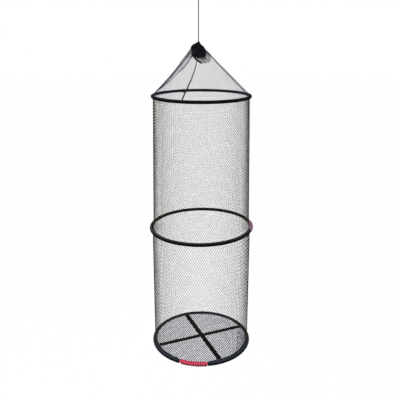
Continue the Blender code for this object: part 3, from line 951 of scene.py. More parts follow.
def laid(
    path: Array, normal: Array, diameter: float | Array, lay: float, sides: int = 12,
    wide: float = 1.0, strands: int = 3, deep: float = 0.09,
) -> Array:
    """Rings of a rope whose strands wind round each other: the radius swells once a strand.

    Args:
        path: Points down the rope's middle.
        normal: Which way up is, at each point.
        diameter: The rope's diameter, or one for each point.
        lay: Metres in which a strand goes round once.
        sides: Points in each ring.
        wide: How much wider than high the rope lies.
        strands: How many strands there are.
        deep: How deep the grooves are, as a share of the diameter.

    Returns:
        The rings.
    """
    along = run_length(path)[..., None] * 2 * math.pi / lay
    swell = np.cos(strands * (angles(sides) - along))
    return sweep(path, normal, diameter / 2 * (1 - deep + deep * swell), sides, wide)


# How fine a knot's path is, and its small circle as a share of the room for the cord's middle
KNOT_POINTS = 120
KNOT_INNER_SHARE = 0.34


def knot_path(centre: Point, across: float, high: float, cord: float) -> Array:
    """A trefoil that fills a lump: three bights wound twice round a small circle.

    Args:
        centre: The lump's middle.
        across: The lump's width.
        high: The lump's height.
        cord: The cord's diameter.

    Returns:
        Points of shape (K, 3), whose last joins its first.
    """
    angle = np.linspace(0, 2 * math.pi, KNOT_POINTS, endpoint=False)
    bight = (across - cord) / 2
    inner = KNOT_INNER_SHARE * bight
    reach = bight - inner + inner * np.cos(3 * angle)
    lift = (high - cord) / 2 * np.sin(3 * angle)
    path = np.stack([reach * np.cos(2 * angle), reach * np.sin(2 * angle), lift], axis=-1)
    return path + centre


@dataclass(frozen=True)
class HangingCord:
    """The eye, its knot and the taut cord down to the tip of the net.

    Fields:
        diameter, length: The cord's own, and the length is from knot to knot.
        loop_height, loop_width: The eye, over the outside of its cord.
        knot, knot_z: How wide both knots are, and the middle of the eye's.
        top_z: The cord's upper end, inside that knot.
        tip_z, tip_height: The top of the knot at the net's tip, and its height.
        tight: How much thicker a knot's cord is drawn.
        lean: How far up the normal of a knot's cord leans, in diameters.
        end_share, end_run: The share of its width that the cord starts with, and for how long.
        told_every: Not used.
    """

    diameter: float = 0.0026
    length: float = 0.147
    loop_height: float = 0.040
    loop_width: float = 0.020
    knot: float = 0.010
    knot_z: float = -0.045
    top_z: float = -0.0503
    tip_z: float = -0.1976
    tip_height: float = 0.0063
    tight: float = 1.15
    lean: float = 0.3
    end_share: float = 0.35
    end_run: float = 0.002
    points: int = 421
    told_every: int = 10
    loop_points: int = 181

    def build(self) -> None:
        """Build the cord first, then what it carries and what carries it."""
        height = np.linspace(self.top_z, self.top_z - self.length, self.points)
        route = plumb(height)
        rings = braided(route, heading(0.0), self.diameter)
        grown = ease((self.top_z - height) / self.end_run)
        taper = self.end_share + (1 - self.end_share) * grown
        skin = Skin().add_tube(route[:, None] + taper[:, None, None] * (rings - route[:, None]))
        cord = dress(skin, "hanging_cord_braid", Body.CORD, Finishes.CORD, ("hanging_cord",))
        loop = self._loop()
        knot = self._knot("loop_knot", Body.HANGER, self.knot_z, self.knot)
        self._knot("tip_knot", Body.HEAD, self.tip_z - self.tip_height / 2, self.tip_height)

    def _loop(self) -> bpy.types.Object:
        """The eye: two legs side by side out of the knot that bow out to a round top.

        Returns:
            The piece.
        """
        turn = np.linspace(0.0, 2 * math.pi, self.loop_points)
        bulge = np.sin(turn) * np.sin(turn / 2) ** 2
        leg = self.diameter / 2 + CLEARANCE
        bow = (self.loop_width - self.diameter) / 2
        across = leg * np.cos(turn / 2) + bow * bulge / bulge.max()
        foot = CLEARANCE - self.loop_height
        height = foot + (1 - np.cos(turn)) / 2 * (self.diameter / 2 - foot)
        path = np.stack([-across, np.zeros_like(across), height], axis=-1)
        skin = Skin().add_tube(braided(path, np.array([0.0, 1.0, 0.0]), self.diameter))
        return dress(skin, "hanging_loop_braid", Body.HANGER, Finishes.CORD, ("hanging_loop",))

    def _knot(self, node: str, body: Body, middle: float, high: float) -> bpy.types.Object:
        """One knot drawn up tight in the cord.

        Args:
            node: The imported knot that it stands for.
            body: The body that carries it.
            middle: The height of its middle.
            high: How high it is.

        Returns:
            The piece.
        """
        centre = (0.0, 0.0, middle)
        path = knot_path(centre, self.knot, high, self.diameter)
        out = unit(path - np.array(centre) + self.lean * self.diameter * UP)
        skin = Skin().add_tube(braided(path, out, self.diameter * self.tight), closed=True)
        return dress(skin, f"{node}_cord", body, Finishes.CORD, (node,))


@dataclass(frozen=True)
class Sleeve:
    """One tube of diamond netting between two hoops.

    Fields:
        high, low, fold: The hoops that it hangs between, and how it closes up.
        cells, rows: How many diamonds there are round it and down it.
        halves: How many pieces it is made in, to keep each from having too many faces.
        insets: How far inside its upper and its lower hoop's wire it hangs.
        twine, flat: The twine's thickness, and how flat it lies.
        waver: How far slow waves move it.
        tucked, tuck_rows: The most that its ends stand inside the wire, and for how many rows.
        pucker: How far its rows of joints stand out and in by turns.
    """

    name: str
    high: Ring
    low: Ring
    fold: Fold
    cells: int
    rows: int
    halves: int
    seed: int
    insets: tuple[float, float]
    twine: float = 0.00061
    flat: float = 0.74
    waver: float = 0.0001
    tucked: float = 0.0055
    tuck_rows: float = 1.5
    pucker: float = 0.0012

    @property
    def drop(self) -> float:
        """Metres from the upper hoop to the lower one."""
        return self.high.height - self.low.height

    @property
    def lattice(self) -> Lattice:
        """The flat net, as wide as the sleeve is round."""
        mean = (self.high.radius + self.low.radius - sum(self.insets)) / 2
        cell = 2 * math.pi * mean / self.cells
        return Lattice(cell, self.drop / self.rows, self.twine, flat=self.flat)

    def _place(self, across: Array, down: Array) -> tuple[Array, Array]:
        """Roll the flat net into a tube whose ends are tucked under the hoops' bindings.

        The wall stands inside the hoops by an inset that changes evenly down it. Its ends
        close on the bindings, its rows of joints stand out and in by turns, and slow waves
        move it a little.

        Args:
            across: Metres across the flat net.
            down: Metres down it.

        Returns:
            The point and the outward normal.
        """
        lattice, drop = self.lattice, self.drop
        turn = across * 2 * math.pi / (self.cells * lattice.cell)
        share = np.clip(down / drop, 0.0, 1.0)
        near = np.minimum(share, 1 - share) * drop
        free = ease(near / (self.tuck_rows * lattice.rise))
        inset = self.insets[0] + (self.insets[1] - self.insets[0]) * share
        inset = np.minimum(inset, self.tucked) + np.maximum(inset - self.tucked, 0.0) * free
        radius = self.high.radius + (self.low.radius - self.high.radius) * share - inset
        radius = radius + self.pucker * free * np.cos(2 * math.pi * down / lattice.rise)
        out, around, along = (self.waver * free * ripple(turn, down, self.seed + k)
                              for k in range(3))
        height = self.high.height - share * drop + along
        return stand(radius + out, turn + around / radius, height), heading(turn)

    def build(self) -> None:
        """Knit the sleeve, in halves where one piece would have too many faces."""
        lattice = self.lattice
        strands = 2 * self.cells // self.halves
        node = self.name.replace("sleeve", "netting")
        for half in range(self.halves):
            first = half * strands
            skin = lattice.knit(first, first + strands, 0, 2 * self.rows, self._place)
            label = self.name
            if self.halves > 1:
                label += "_front" if half else "_back"
            dress(skin, label, self.high.body, Finishes.SLEEVE, (node,), self.fold)


@dataclass(frozen=True)
class Hoop:
    """One bound hoop, and its rope whipping if it has one.

    Fields:
        binding, whipping: The azimuths at which each starts and ends.
        thick, thick_back: The binding's radius in front and at the back.
        lift, lean: How far up its front stands, and how much it rises to the right.
        wrap, rib: Metres from one wrap of the lashing to the next, and how high each stands.
        end_share, end_run: The share of its radius that the binding ends with, and for how long.
        lumps: The azimuths where it is knotted, each lump_high thicker for about lump_half.
        rope, rope_wide: The rope's height, and how much wider it is pressed.
        rope_pitch, rope_lay: Metres from turn to turn, and in which a strand goes round once.
        tuck_share, tuck_rate: How close its ends lie to the wire, and how fast they rise.
        core_past: How many degrees the core runs on under the binding.
    """

    ring: Ring
    binding: tuple[float, float]
    whipping: tuple[float, float] | None = None
    finish: Finish = Finishes.BINDING
    rope_finish: Finish = Finishes.ROPE
    thick: float = BINDING_RADIUS
    thick_back: float = BINDING_RADIUS
    lift: float = 0.0
    lean: float = 0.0
    wrap: float = 0.0050
    rib: float = 0.0009
    wrap_steps: int = 7
    sides: int = 16
    end_share: float = 0.62
    end_run: float = 0.002
    lumps: tuple[float, ...] = ()
    lump_high: float = 0.0016
    lump_half: float = 0.004
    rope: float = 0.0060
    rope_wide: float = 1.5
    rope_pitch: float = 0.0092
    rope_lay: float = 0.021
    rope_steps: int = 36
    rope_sides: int = 18
    tuck_share: float = 0.7
    tuck_rate: float = 5.0
    core_past: float = 0.6
    core_points: int = 90
    core_sides: int = 12

    def build(self) -> None:
        """Give the steel its finishes, and make the binding and the whipping."""
        for part, finish in (("hoop", Finishes.WIRE), ("ferrule", Finishes.FERRULE)):
            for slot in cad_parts[f"{self.ring.name}_{part}"].material_slots:
                slot.material = finish.material()
        self._lashing()
        if self.whipping:
            self._whipping(*self.whipping)

    def _circle(self, turn: Array) -> Array:
        """Points on the circle that the wire follows."""
        tilt = self.lift * front(turn) + self.lean * (self.ring.radius * np.sin(turn))
        return stand(self.ring.radius, turn, self.ring.height + tilt)

    def _lashing(self) -> None:
        """Cord wound round and round the wire: a torus with one round rib per wrap.

        The radius is the core's plus the rib's height times the root of one less the
        square of the distance from the rib's middle, which moves on as it winds.
        """
        start, end = (math.radians(a) for a in self.binding)
        wraps = round((end - start) * self.ring.radius / self.wrap)
        turn = np.linspace(start, end, wraps * self.wrap_steps + 1)
        whole = math.isclose(end - start, 2 * math.pi)
        turn = turn[:-1] if whole else turn
        around = np.arange(self.sides) / self.sides
        phase = (turn - start)[:, None] / (end - start) * wraps - around
        off = 2 * (phase % 1.0) - 1
        core = self.thick_back + (self.thick - self.thick_back) * front(turn) - self.rib
        radius = core[:, None] + self.rib * np.sqrt(np.maximum(1 - off * off, 0.0))
        for azimuth in self.lumps:
            apart = (turn - math.radians(azimuth)) * self.ring.radius / self.lump_half
            radius = radius + self.lump_high * np.exp(-apart * apart)[:, None]
        if not whole:
            from_end = np.minimum(turn - start, end - turn) * self.ring.radius
            grown = np.sqrt(ease(from_end / self.end_run))
            radius = radius * (self.end_share + (1 - self.end_share) * grown)[:, None]
        side = np.cross(heading(turn + math.pi / 2), UP)
        angle = angles(self.sides)[:, None]
        spokes = np.cos(angle) * UP + np.sin(angle) * side[:, None, :]
        rings = self._circle(turn)[:, None, :] + radius[..., None] * spokes
        name = self.ring.name
        dress(Skin().add_tube(rings, closed=whole), f"{name}_lashing", self.ring.body,
              self.finish, (f"{name}_binding",))

    def _whipping(self, start: float, end: float) -> None:
        """Three-strand rope wound on the bare wire, turn against turn, over a thin core.

        Args:
            start: The azimuth where it starts.
            end: The azimuth where it ends.
        """
        length = math.radians(end - start) * self.ring.radius - self.rope
        turns = length / self.rope_pitch
        share = np.linspace(0.0, 1.0, round(turns * self.rope_steps))
        margin = math.degrees(self.rope / 2 / self.ring.radius)
        along = np.radians(start + margin + (end - start - 2 * margin) * share)
        wound = 2 * math.pi * turns * share
        tuck = ease(np.minimum(share, 1 - share) * turns * self.tuck_rate)
        reach = (WIRE_RADIUS + CLEARANCE + self.rope / 2) * (
            self.tuck_share + (1 - self.tuck_share) * tuck)
        out = np.cos(wound)[:, None] * heading(along) + np.sin(wound)[:, None] * UP
        path = self._circle(along) + reach[:, None] * out
        rings = laid(path, out, self.rope, self.rope_lay, self.rope_sides, self.rope_wide)
        name = f"{self.ring.name}_whipping"
        dress(Skin().add_tube(rings), f"{name}_rope", self.ring.body, self.rope_finish, (name,))
        ends = (start - self.core_past, end + self.core_past)
        under = self._circle(np.radians(np.linspace(*ends, self.core_points)))
        rings = sweep(under, UP, WIRE_RADIUS + self.rib, self.core_sides)
        dress(Skin().add_tube(rings), f"{name}_core", self.ring.body, Finishes.BINDING)


@dataclass(frozen=True)
class Bridle:
    """One of the cords that take the load, from the bunch to the top hoop.

    Fields:
        start: Where it comes out of the bunch, as a share of the cone's side.
        top, foot: Its azimuths at the tent's foot and at the hoop.
        slim, swell: Its thickness at its start and what it gains, as shares of the cord's.
        full: The share of its run at which it has gained that.
    """

    side: str
    start: float
    top: float
    foot: float
    slim: float
    swell: float = 0.0
    full: float = 1.0


BRIDLES = (
    Bridle("front", 0.22, -6.2, -21.5, 1.0, 0.55, 0.8),
    Bridle("right", 0.03, 122.0, 112.0, 0.95),
    Bridle("left", 0.03, -128.0, -106.0, 0.30, 0.75, 0.3),
)


# The cone's radius half way down, for which a cord's waver in metres is made a turn
MIDDLE_REACH = 0.1


@dataclass(frozen=True)
class FoldEdge:
    """The sizes of the fold's edge, whose places are shares of the cone's side.

    Fields:
        start, end, past, closing: Where it runs, how far past that, and how fast, it closes.
        radius: Its radius where all the netting is drawn into it.
        thin: What is left of it between its two thick parts, as a share.
        high_end, high_run: Where its upper thick part ends, and in what length.
        low_start, low_run, low: Where the lower one starts, in what length, how thick.
        bead, pitch: How much a bead stands out, and metres from one to the next.
    """

    start: float = 0.07
    end: float = 0.97
    past: float = 0.01
    closing: float = 0.02
    radius: float = 0.0015
    thin: float = 0.35
    high_end: float = 0.38
    high_run: float = 0.14
    low_start: float = 0.62
    low_run: float = 0.08
    low: float = 0.50
    bead: float = 0.30
    pitch: float = 0.0066
    points: int = 420
    sides: int = 8


@dataclass(frozen=True)
class Cone:
    """The mouth's cone: a flat panel of fine netting rolled up, its fold and its bridle cords.

    Fields:
        neck, shoulder, tent, foot: Radius and height at the draw cord, where it comes out of
            the bunch, and at the top and the end of its straight side.
        tent_shift, shoulder_share: How far right the tent stands, and the shoulder's share.
        neck_share: How much of the way from the shoulder up to the neck has netting.
        sag: How far the straight side sags inwards at the left.
        past_foot: How far the netting goes on under the hoop's binding.
        cell, rise, joint: Width and height of a diamond, and half the length of its joints.
        twine, fold_twine, flat: The two layers' twine, and how flat it lies.
        wave, wave_run: How high the netting's waves are, and how far from its ends.
        fold_top, fold_foot, fold_back: The azimuths of the fold's edge at the tent and at the
            hoop, and of the doubled part's back edge.
        fold_start, fold_end: The shares of the side between which the netting is doubled.
        fold_tilt: How far the doubled layer's mesh is turned, in radians.
        layer: How far out it lies.
        bridle, bridle_lay: The bridle cords' thickness, and metres in a turn of a strand.
        bridle_curve: How early they bend round to their place at the hoop.
        bridle_waver, bridle_waves: How far they waver, and in how many half waves.
    """

    neck: tuple[float, float] = (0.0041, -0.2159)
    shoulder: tuple[float, float] = (0.0240, -0.2219)
    tent: tuple[float, float] = (0.0298, -0.2282)
    foot: tuple[float, float] = (0.1731, -0.3788)
    tent_shift: float = -0.0016
    shoulder_share: float = 0.8
    neck_share: float = 0.8
    sag: float = 0.0062
    past_foot: float = 0.0046
    cell: float = 0.0078
    rise: float = 0.0084
    joint: float = 0.0008
    twine: float = 0.00054
    fold_twine: float = 0.00060
    flat: float = 2.4
    wave: float = 0.0008
    wave_run: float = 0.03
    wave_seed: int = 41
    fold_top: float = -20.0
    fold_foot: float = -83.0
    fold_back: float = -119.0
    fold_start: float = 0.02
    fold_end: float = 0.93
    fold_tilt: float = 0.42
    layer: float = 0.0009
    bridle: float = 0.0032
    bridle_lay: float = 0.009
    bridle_curve: float = 1.3
    bridle_waver: float = 0.0006
    bridle_waves: int = 9

    @property
    def length(self) -> float:
        """Metres down the cone's straight side."""
        return math.dist(self.tent, self.foot)

    @property
    def sine(self) -> float:
        """How much wider the cone gets for each metre down its side."""
        return (self.foot[0] - self.tent[0]) / self.length

    @property
    def to_tip(self) -> float:
        """Metres up the straight side's line from the tent's foot to the cone's virtual tip."""
        return self.tent[0] / self.sine

    def slack(self, share: Array, turn: Array) -> Array:
        """Metres that the netting sags inwards at a share of the straight side."""
        # Half a sine wave down the side, times the square of half of one less the sine of the
        # turn: all of it at the left and none of it at the right
        down = np.sin(math.pi * np.clip(share, 0.0, 1.0))
        return self.sag * down * ((1 - np.sin(turn)) / 2) ** 2

    def reach(self, height: Array, turn: Array) -> Array:
        """Metres from the middle line out to the netting at a height.

        Args:
            height: Heights in metres.
            turn: Turns in radians.

        Returns:
            Metres outwards.
        """
        radii, heights = zip(self.foot, self.tent, self.shoulder, self.neck)
        share = (self.tent[1] - height) / (self.tent[1] - self.foot[1])
        return np.interp(height, heights, radii) - self.slack(share, turn)

    def point(self, slant: Array, turn: Array, lift: float = 0.0) -> tuple[Array, Array]:
        """A point on the cone.

        Radius, height and shift to the side are straight lines between the neck, the
        shoulder, the tent's foot and the cone's foot, and the netting's slack comes off.

        Args:
            slant: Metres down the side from the tent's foot.
            turn: Turns in radians.
            lift: Metres out from the cone.

        Returns:
            The point and the outward normal.
        """
        steep = math.sqrt(1 - self.sine**2)
        rim = -math.dist(self.tent, self.shoulder)
        top = rim - math.dist(self.shoulder, self.neck)
        at = [top, rim, 0.0, self.length, self.length + self.past_foot]
        end = (self.foot[0] + self.past_foot * self.sine, self.foot[1] - self.past_foot * steep)
        radii, heights = zip(self.neck, self.shoulder, self.tent, self.foot, end)
        shoulder_shift = self.shoulder_share * self.tent_shift
        shifts = (0.0, shoulder_shift, self.tent_shift, AXIS_X, AXIS_X)
        radius = np.interp(slant, at, radii) - self.slack(slant / self.length, turn)
        height, shift = np.interp(slant, at, heights), np.interp(slant, at, shifts)
        normal = steep * heading(turn) + self.sine * UP
        return stand(radius, turn, height, shift) + lift * normal, normal

    def _edge(self, share: Array) -> Array:
        """The turn of the fold's edge at a share of the side."""
        return np.radians(self.fold_top + (self.fold_foot - self.fold_top) * share)

    def _roll(self, across: Array, down: Array, tilt: float) -> tuple[Array, Array]:
        """Slant and turn of a place on the flat panel, which is first turned by tilt."""
        # The slant is the distance from the cone's virtual tip, less the tent's, and the turn
        # is the angle round that tip over the cone's sine
        over, under = tilted(across, down, tilt)
        return np.hypot(over, under) - self.to_tip, np.arctan2(over, under) / self.sine

    def _net(self, twine: float, tilt: float, layer: float, region: Region) -> Skin:
        """One layer of the panel, with low waves in and out.

        Args:
            twine: Its twine's thickness.
            tilt: How far its mesh is turned, in radians.
            layer: How far out it lies.
            region: Above zero at the slants and turns where there is netting.

        Returns:
            The layer's skin.
        """
        lattice = Lattice(self.cell, self.rise, twine, self.joint, flat=self.flat)
        reach = self.to_tip + self.length + self.past_foot
        columns, rows = math.ceil(reach / (self.cell / 2)), math.ceil(reach / (self.rise / 2))

        def place(across: Array, down: Array) -> tuple[Array, Array]:
            """The point and the normal of a place on the panel."""
            slant, turn = self._roll(across, down, tilt)
            points, normal = self.point(slant, turn, layer)
            wave = self.wave * ease(slant / self.wave_run)
            wave = wave * ease((self.length - slant) / self.wave_run)
            wave = wave * ripple(turn, slant, self.wave_seed)
            return points + wave[..., None] * normal, normal

        def inside(across: Array, down: Array) -> Array:
            """Above zero in the region, in metres."""
            return region(*self._roll(across, down, tilt))

        return lattice.knit(-columns, columns, -rows, rows, place, inside)

    def _whole(self, slant: Array, turn: Array) -> Array:
        """Metres inside the edges of the whole panel: its top, its foot and its seam.

        Args:
            slant: Metres down the side from the tent's foot.
            turn: Turns in radians.

        Returns:
            Metres to the nearest edge, below zero outside it.
        """
        up = self.neck_share * math.dist(self.shoulder, self.neck)
        top = -math.dist(self.tent, self.shoulder) - up
        seam = (math.pi - np.abs(turn)) * self.sine * (slant + self.to_tip)
        ends = np.minimum(slant - top, self.length + self.past_foot - slant)
        return np.minimum(ends, seam)

    def _folded(self, slant: Array, turn: Array) -> Array:
        """Metres inside the doubled part at the left, between its fold and its back edge.

        Args:
            slant: Metres down the side from the tent's foot.
            turn: Turns in radians.

        Returns:
            Metres to the nearest edge, below zero outside it.
        """
        share = slant / self.length
        radius = self.tent[0] + self.sine * slant
        back = turn - math.radians(self.fold_back)
        sides = np.minimum(self._edge(share) - turn, back) * radius
        ends = np.minimum(share - self.fold_start, self.fold_end - share) * self.length
        return np.minimum(sides, ends)

    def build(self) -> None:
        """Make the netting, its fold and the cords that take the load."""
        skin = self._net(self.twine, 0.0, 0.0, self._whole)
        dress(skin, "cone_net", Body.HEAD, Finishes.FINE, ("cone_netting",), CONE_FOLD)
        skin = self._net(self.fold_twine, self.fold_tilt, self.layer, self._folded)
        dress(skin, "cone_net_fold", Body.HEAD, Finishes.FINE, fold=CONE_FOLD)
        self._fold_edge()
        for bridle in BRIDLES:
            self._bridle(bridle)

    def _fold_edge(self) -> None:
        """The doubled netting's edge: twine drawn together, thick high up and again low down.

        The radius grows with the netting that is drawn into it, with one bead per knot.
        """
        run = FoldEdge()
        share = np.linspace(run.start, run.end, run.points)
        path, normal = self.point(share * self.length, self._edge(share), 2 * self.layer)
        high = 1 - ease((share - run.high_end) / run.high_run)
        low = ease((share - run.low_start) / run.low_run)
        thick = run.thin + (1 - run.thin) * high + run.low * low
        beads = 1 + run.bead * np.sin(2 * math.pi * share * self.length / run.pitch)
        ends = np.minimum(share - run.start + run.past, run.end + run.past - share)
        radius = run.radius * thick * beads * ease(ends / run.closing)
        skin = Skin().add_tube(sweep(path, normal, radius[:, None], run.sides))
        dress(skin, "cone_net_fold_edge", Body.HEAD, Finishes.BUNCH, fold=CONE_FOLD)

    def _bridle(self, bridle: Bridle, points: int = 260) -> None:
        """One cord from the bunched mouth to the top hoop, laid over the netting.

        Its turn goes from the top's to the foot's with a power of what is left of its run.

        Args:
            bridle: The cord.
            points: Points down it.
        """
        share = np.linspace(0.0, 1.0, points)
        bend = (1 - share) ** self.bridle_curve
        turn = np.radians(bridle.foot + (bridle.top - bridle.foot) * bend)
        slant = (bridle.start + share * (1.0 - bridle.start)) * self.length
        waver = self.bridle_waver * np.sin(math.pi * share)
        waver = waver * np.sin(self.bridle_waves * math.pi * share)
        turn = turn + waver / MIDDLE_REACH
        path, normal = self.point(slant, turn, self.bridle / 2 + CLEARANCE)
        thick = self.bridle * (bridle.slim + bridle.swell * ease(share / bridle.full))
        name = f"bridle_cord_{bridle.side}"
        skin = Skin().add_tube(laid(path, normal, thick[:, None], self.bridle_lay))
        dress(skin, f"{name}_rope", Body.HEAD, Finishes.CORD, (name,), CONE_FOLD)


@dataclass(frozen=True)
class Frill:
    """One loose layer of netting that falls from the bunch.

    Fields:
        cells, rows: How many diamonds it would have all the way round, and has down.
        short: How far down it goes, as a share of the way to the frills' foot.
        first, last: What part of the way round it covers, counted from the back.
        twine: Its twine's thickness.
        close: How far out it hangs, as a share of the skirt's reach.
        tight: Whether it may lie inside the cone's netting.
    """

    cells: int
    rows: int
    short: float
    first: float
    last: float
    twine: float
    close: float = 1.0
    tight: bool = False


FRILLS = (
    Frill(46, 15, 1.0, 0.0, 1.0, 0.00026),
    Frill(42, 15, 0.98, 0.46, 0.68, 0.00100),
    Frill(40, 13, 0.80, 0.46, 0.60, 0.00095, 0.97),
    Frill(40, 12, 0.74, 0.08, 0.44, 0.00034, 0.86, tight=True),
)


# How deep the fine pleats and the crimps are, as shares of the broad pleats' depth
FINE_PLEAT = 0.35
CRIMP = 0.12


@dataclass(frozen=True)
class Mouth:
    """The gathered mouth under the tip knot: the bunched netting, its frills, cord and hem.

    Fields:
        outline: Height, and how far the bunch reaches to the left and right of the cord.
        skirt: The same of the frills, from their top down.
        skirt_foot: Azimuth and height of the frills' foot round the bunch.
        depth: How deep the bunch is, front to back, as a share of its width.
        bunch_pleat, bunch_seed: The depth of its pleats, as a share, and what shifts them.
        neck, neck_top, neck_foot: The neck's radius, and the heights between which it shows.
        neck_pleat, neck_pleats: The depth of its pleats, as a share, and their number.
        cell, rise, joint, flat: The frills' diamonds, half a joint, and how flat they lie.
        frill_lift: How far out of the cone or the skirt's outline they lie.
        frill_pleat, frill_start: The depth of their pleats, and the share of it at the top.
        ragged, tatters: How uneven their foot is, and in how many waves.
        frill_shift: How much of the tent's shift they follow above the tent's foot.
        cord, cord_turns: The draw cord's thickness, and how often it goes round the neck.
        cord_top, cord_drop, cord_gap: Its height, and how far down and out it winds.
        hem, hem_high, hem_wide: The hem's thickness, the share of it that shows, and how
            much wider it lies.
        hem_slants: The shares of the cone's side where it starts and ends.
        hem_azimuth, hem_round: Where it starts, and how many degrees round it goes.
        hem_end, hem_closing: How thick it ends, and in what share of its length it closes.
        cone: The cone that all of it lies on.
    """

    outline: tuple[Point, ...] = (
        (-0.1998, 0.0030, 0.0030), (-0.2007, 0.0070, 0.0044), (-0.2041, 0.0140, 0.0066),
        (-0.2058, 0.0180, 0.0084), (-0.2092, 0.0234, 0.0132), (-0.2126, 0.0266, 0.0170),
        (-0.2160, 0.0282, 0.0200), (-0.2210, 0.0290, 0.0225), (-0.2262, 0.0286, 0.0246),
        (-0.2313, 0.0276, 0.0266), (-0.2364, 0.0268, 0.0272), (-0.2432, 0.0262, 0.0272),
        (-0.2466, 0.0256, 0.0268), (-0.2488, 0.0240, 0.0262), (-0.2504, 0.0200, 0.0240),
        (-0.2514, 0.0140, 0.0190), (-0.2520, 0.0080, 0.0120), (-0.2514, 0.0020, 0.0020),
    )
    skirt: tuple[Point, ...] = (
        (-0.2085, 0.0190, 0.0080), (-0.2143, 0.0236, 0.0140), (-0.2219, 0.0286, 0.0185),
        (-0.2316, 0.0345, 0.0240), (-0.2426, 0.0420, 0.0300), (-0.2700, 0.0500, 0.0400),
    )
    skirt_foot: tuple[tuple[float, float], ...] = (
        (-180.0, -0.2500), (-125.0, -0.2600), (-98.0, -0.2700), (-75.0, -0.2680),
        (-58.0, -0.2540), (-40.0, -0.2470), (-22.0, -0.2490), (-10.0, -0.2570),
        (2.0, -0.2640), (14.0, -0.2680), (28.0, -0.2680), (42.0, -0.2630),
        (56.0, -0.2530), (80.0, -0.2440), (125.0, -0.2440), (180.0, -0.2500),
    )
    depth: float = 0.90
    bunch_pleat: float = 0.16
    bunch_seed: int = 1
    bunch_rings: int = 90
    bunch_sides: int = 220
    neck: float = 0.0041
    neck_top: float = -0.2037
    neck_foot: float = -0.2168
    neck_pleat: float = 0.12
    neck_pleats: int = 12
    neck_rings: int = 24
    neck_sides: int = 72
    cell: float = 0.0038
    rise: float = 0.0040
    joint: float = 0.0005
    flat: float = 2.4
    frill_lift: float = 0.0010
    frill_pleat: float = 0.0022
    frill_pleats: int = 19
    frill_start: float = 0.1
    ragged: float = 0.0012
    tatters: int = 23
    frill_shift: float = 0.5
    cord: float = 0.0018
    cord_turns: float = 3.2
    cord_top: float = -0.2060
    cord_drop: float = 0.0078
    cord_gap: float = 0.0002
    cord_points: int = 260
    cord_sides: int = 12
    hem: float = 0.0046
    hem_wide: float = 1.5
    hem_high: float = 0.85
    hem_slants: tuple[float, float] = (0.146, 0.272)
    hem_azimuth: float = -16.5
    hem_round: float = 25.0
    hem_end: float = 0.4
    hem_closing: float = 0.03
    hem_stitch: float = 0.05
    hem_stitches: int = 16
    hem_points: int = 160
    hem_sides: int = 14
    cone: Cone = Cone()

    def build(self) -> None:
        """Make the bunch, its frills, the draw cord and the hem."""
        self._bunch()
        self._frills()
        self._draw_cord()
        self._hem()

    def _around(self, place: Array, turn: Array, swell: Array) -> Array:
        """Points round the bunch.

        A point lies at the outline's middle plus half its width times the sine of the turn,
        and in depth at a share of that times the cosine, each times its swell.

        Args:
            place: How far down the outline, from 0 to 1.
            turn: Turns in radians.
            swell: How far out each point lies, as a share.

        Returns:
            The points.
        """
        table = np.array(self.outline)
        at = place * (len(table) - 1)
        height, left, right = (np.interp(at, range(len(table)), column) for column in table.T)
        half = (right + left) / 2
        x = (right - left) / 2 + half * swell * np.sin(turn)
        y = -self.depth * half * swell * np.cos(turn)
        return np.stack(np.broadcast_arrays(x, y, height), axis=-1)

    @staticmethod
    def _pleats(turn: Array, place: Array, deep: float, seed: int) -> Array:
        """Pleats of three sizes that lean as they run down: one less a sum of sines.

        There are nine broad ones, 25 fine ones, and crimps: 61 waves round the bunch times
        nine half waves down it.

        Args:
            turn: Turns in radians.
            place: How far down the bunch, from 0 to 1.
            deep: How deep the broad pleats are, as a share.
            seed: What shifts them.

        Returns:
            How far out the surface lies, as a share.
        """
        lean = np.sin(3 * place + seed)
        broad = np.sin(9 * turn + 2.0 * np.sin(2 * turn + seed) + 2.5 * lean)
        fine = np.sin(25 * turn + 4.0 * lean + seed)
        crimp = np.sin(9 * math.pi * place + 5 * turn) * np.sin(61 * turn + seed)
        folds = 1 - deep * (0.5 - 0.5 * broad) - FINE_PLEAT * deep * (0.5 - 0.5 * fine)
        return folds + CRIMP * deep * crimp

    def _bunch(self) -> None:
        """The dense middle of the gathered netting, and the pleated neck that it hangs from."""
        place = np.linspace(0.0, 1.0, self.bunch_rings)[:, None]
        turn = angles(self.bunch_sides)[None, :]
        pleats = self._pleats(turn, place, self.bunch_pleat, self.bunch_seed)
        skin = Skin().add_tube(self._around(place, turn, pleats))
        path = plumb(np.linspace(self.neck_top, self.neck_foot, self.neck_rings))
        swell = 1 + self.neck_pleat * np.sin(self.neck_pleats * angles(self.neck_sides))
        radius = (self.neck - self.cord / 4) * swell
        skin.add_tube(sweep(path, heading(0.0), radius, self.neck_sides))
        dress(skin, "mouth_bunch", Body.HEAD, Finishes.BUNCH, ("mouth_gather",), CONE_FOLD)

    def _frills(self) -> None:
        """Loose layers of the netting that fall from the bunch over the top of the cone."""
        skin = Skin()
        for order, frill in enumerate(FRILLS):
            lattice = Lattice(self.cell, self.rise, frill.twine, self.joint, flat=self.flat)
            place = partial(self._fall, frill, order)
            first, last = round(2 * frill.cells * frill.first), round(2 * frill.cells * frill.last)
            lattice.knit(first, last, 0, 2 * frill.rows, place, skin=skin)
        dress(skin, "mouth_frills", Body.HEAD, Finishes.FRILL, fold=CONE_FOLD)

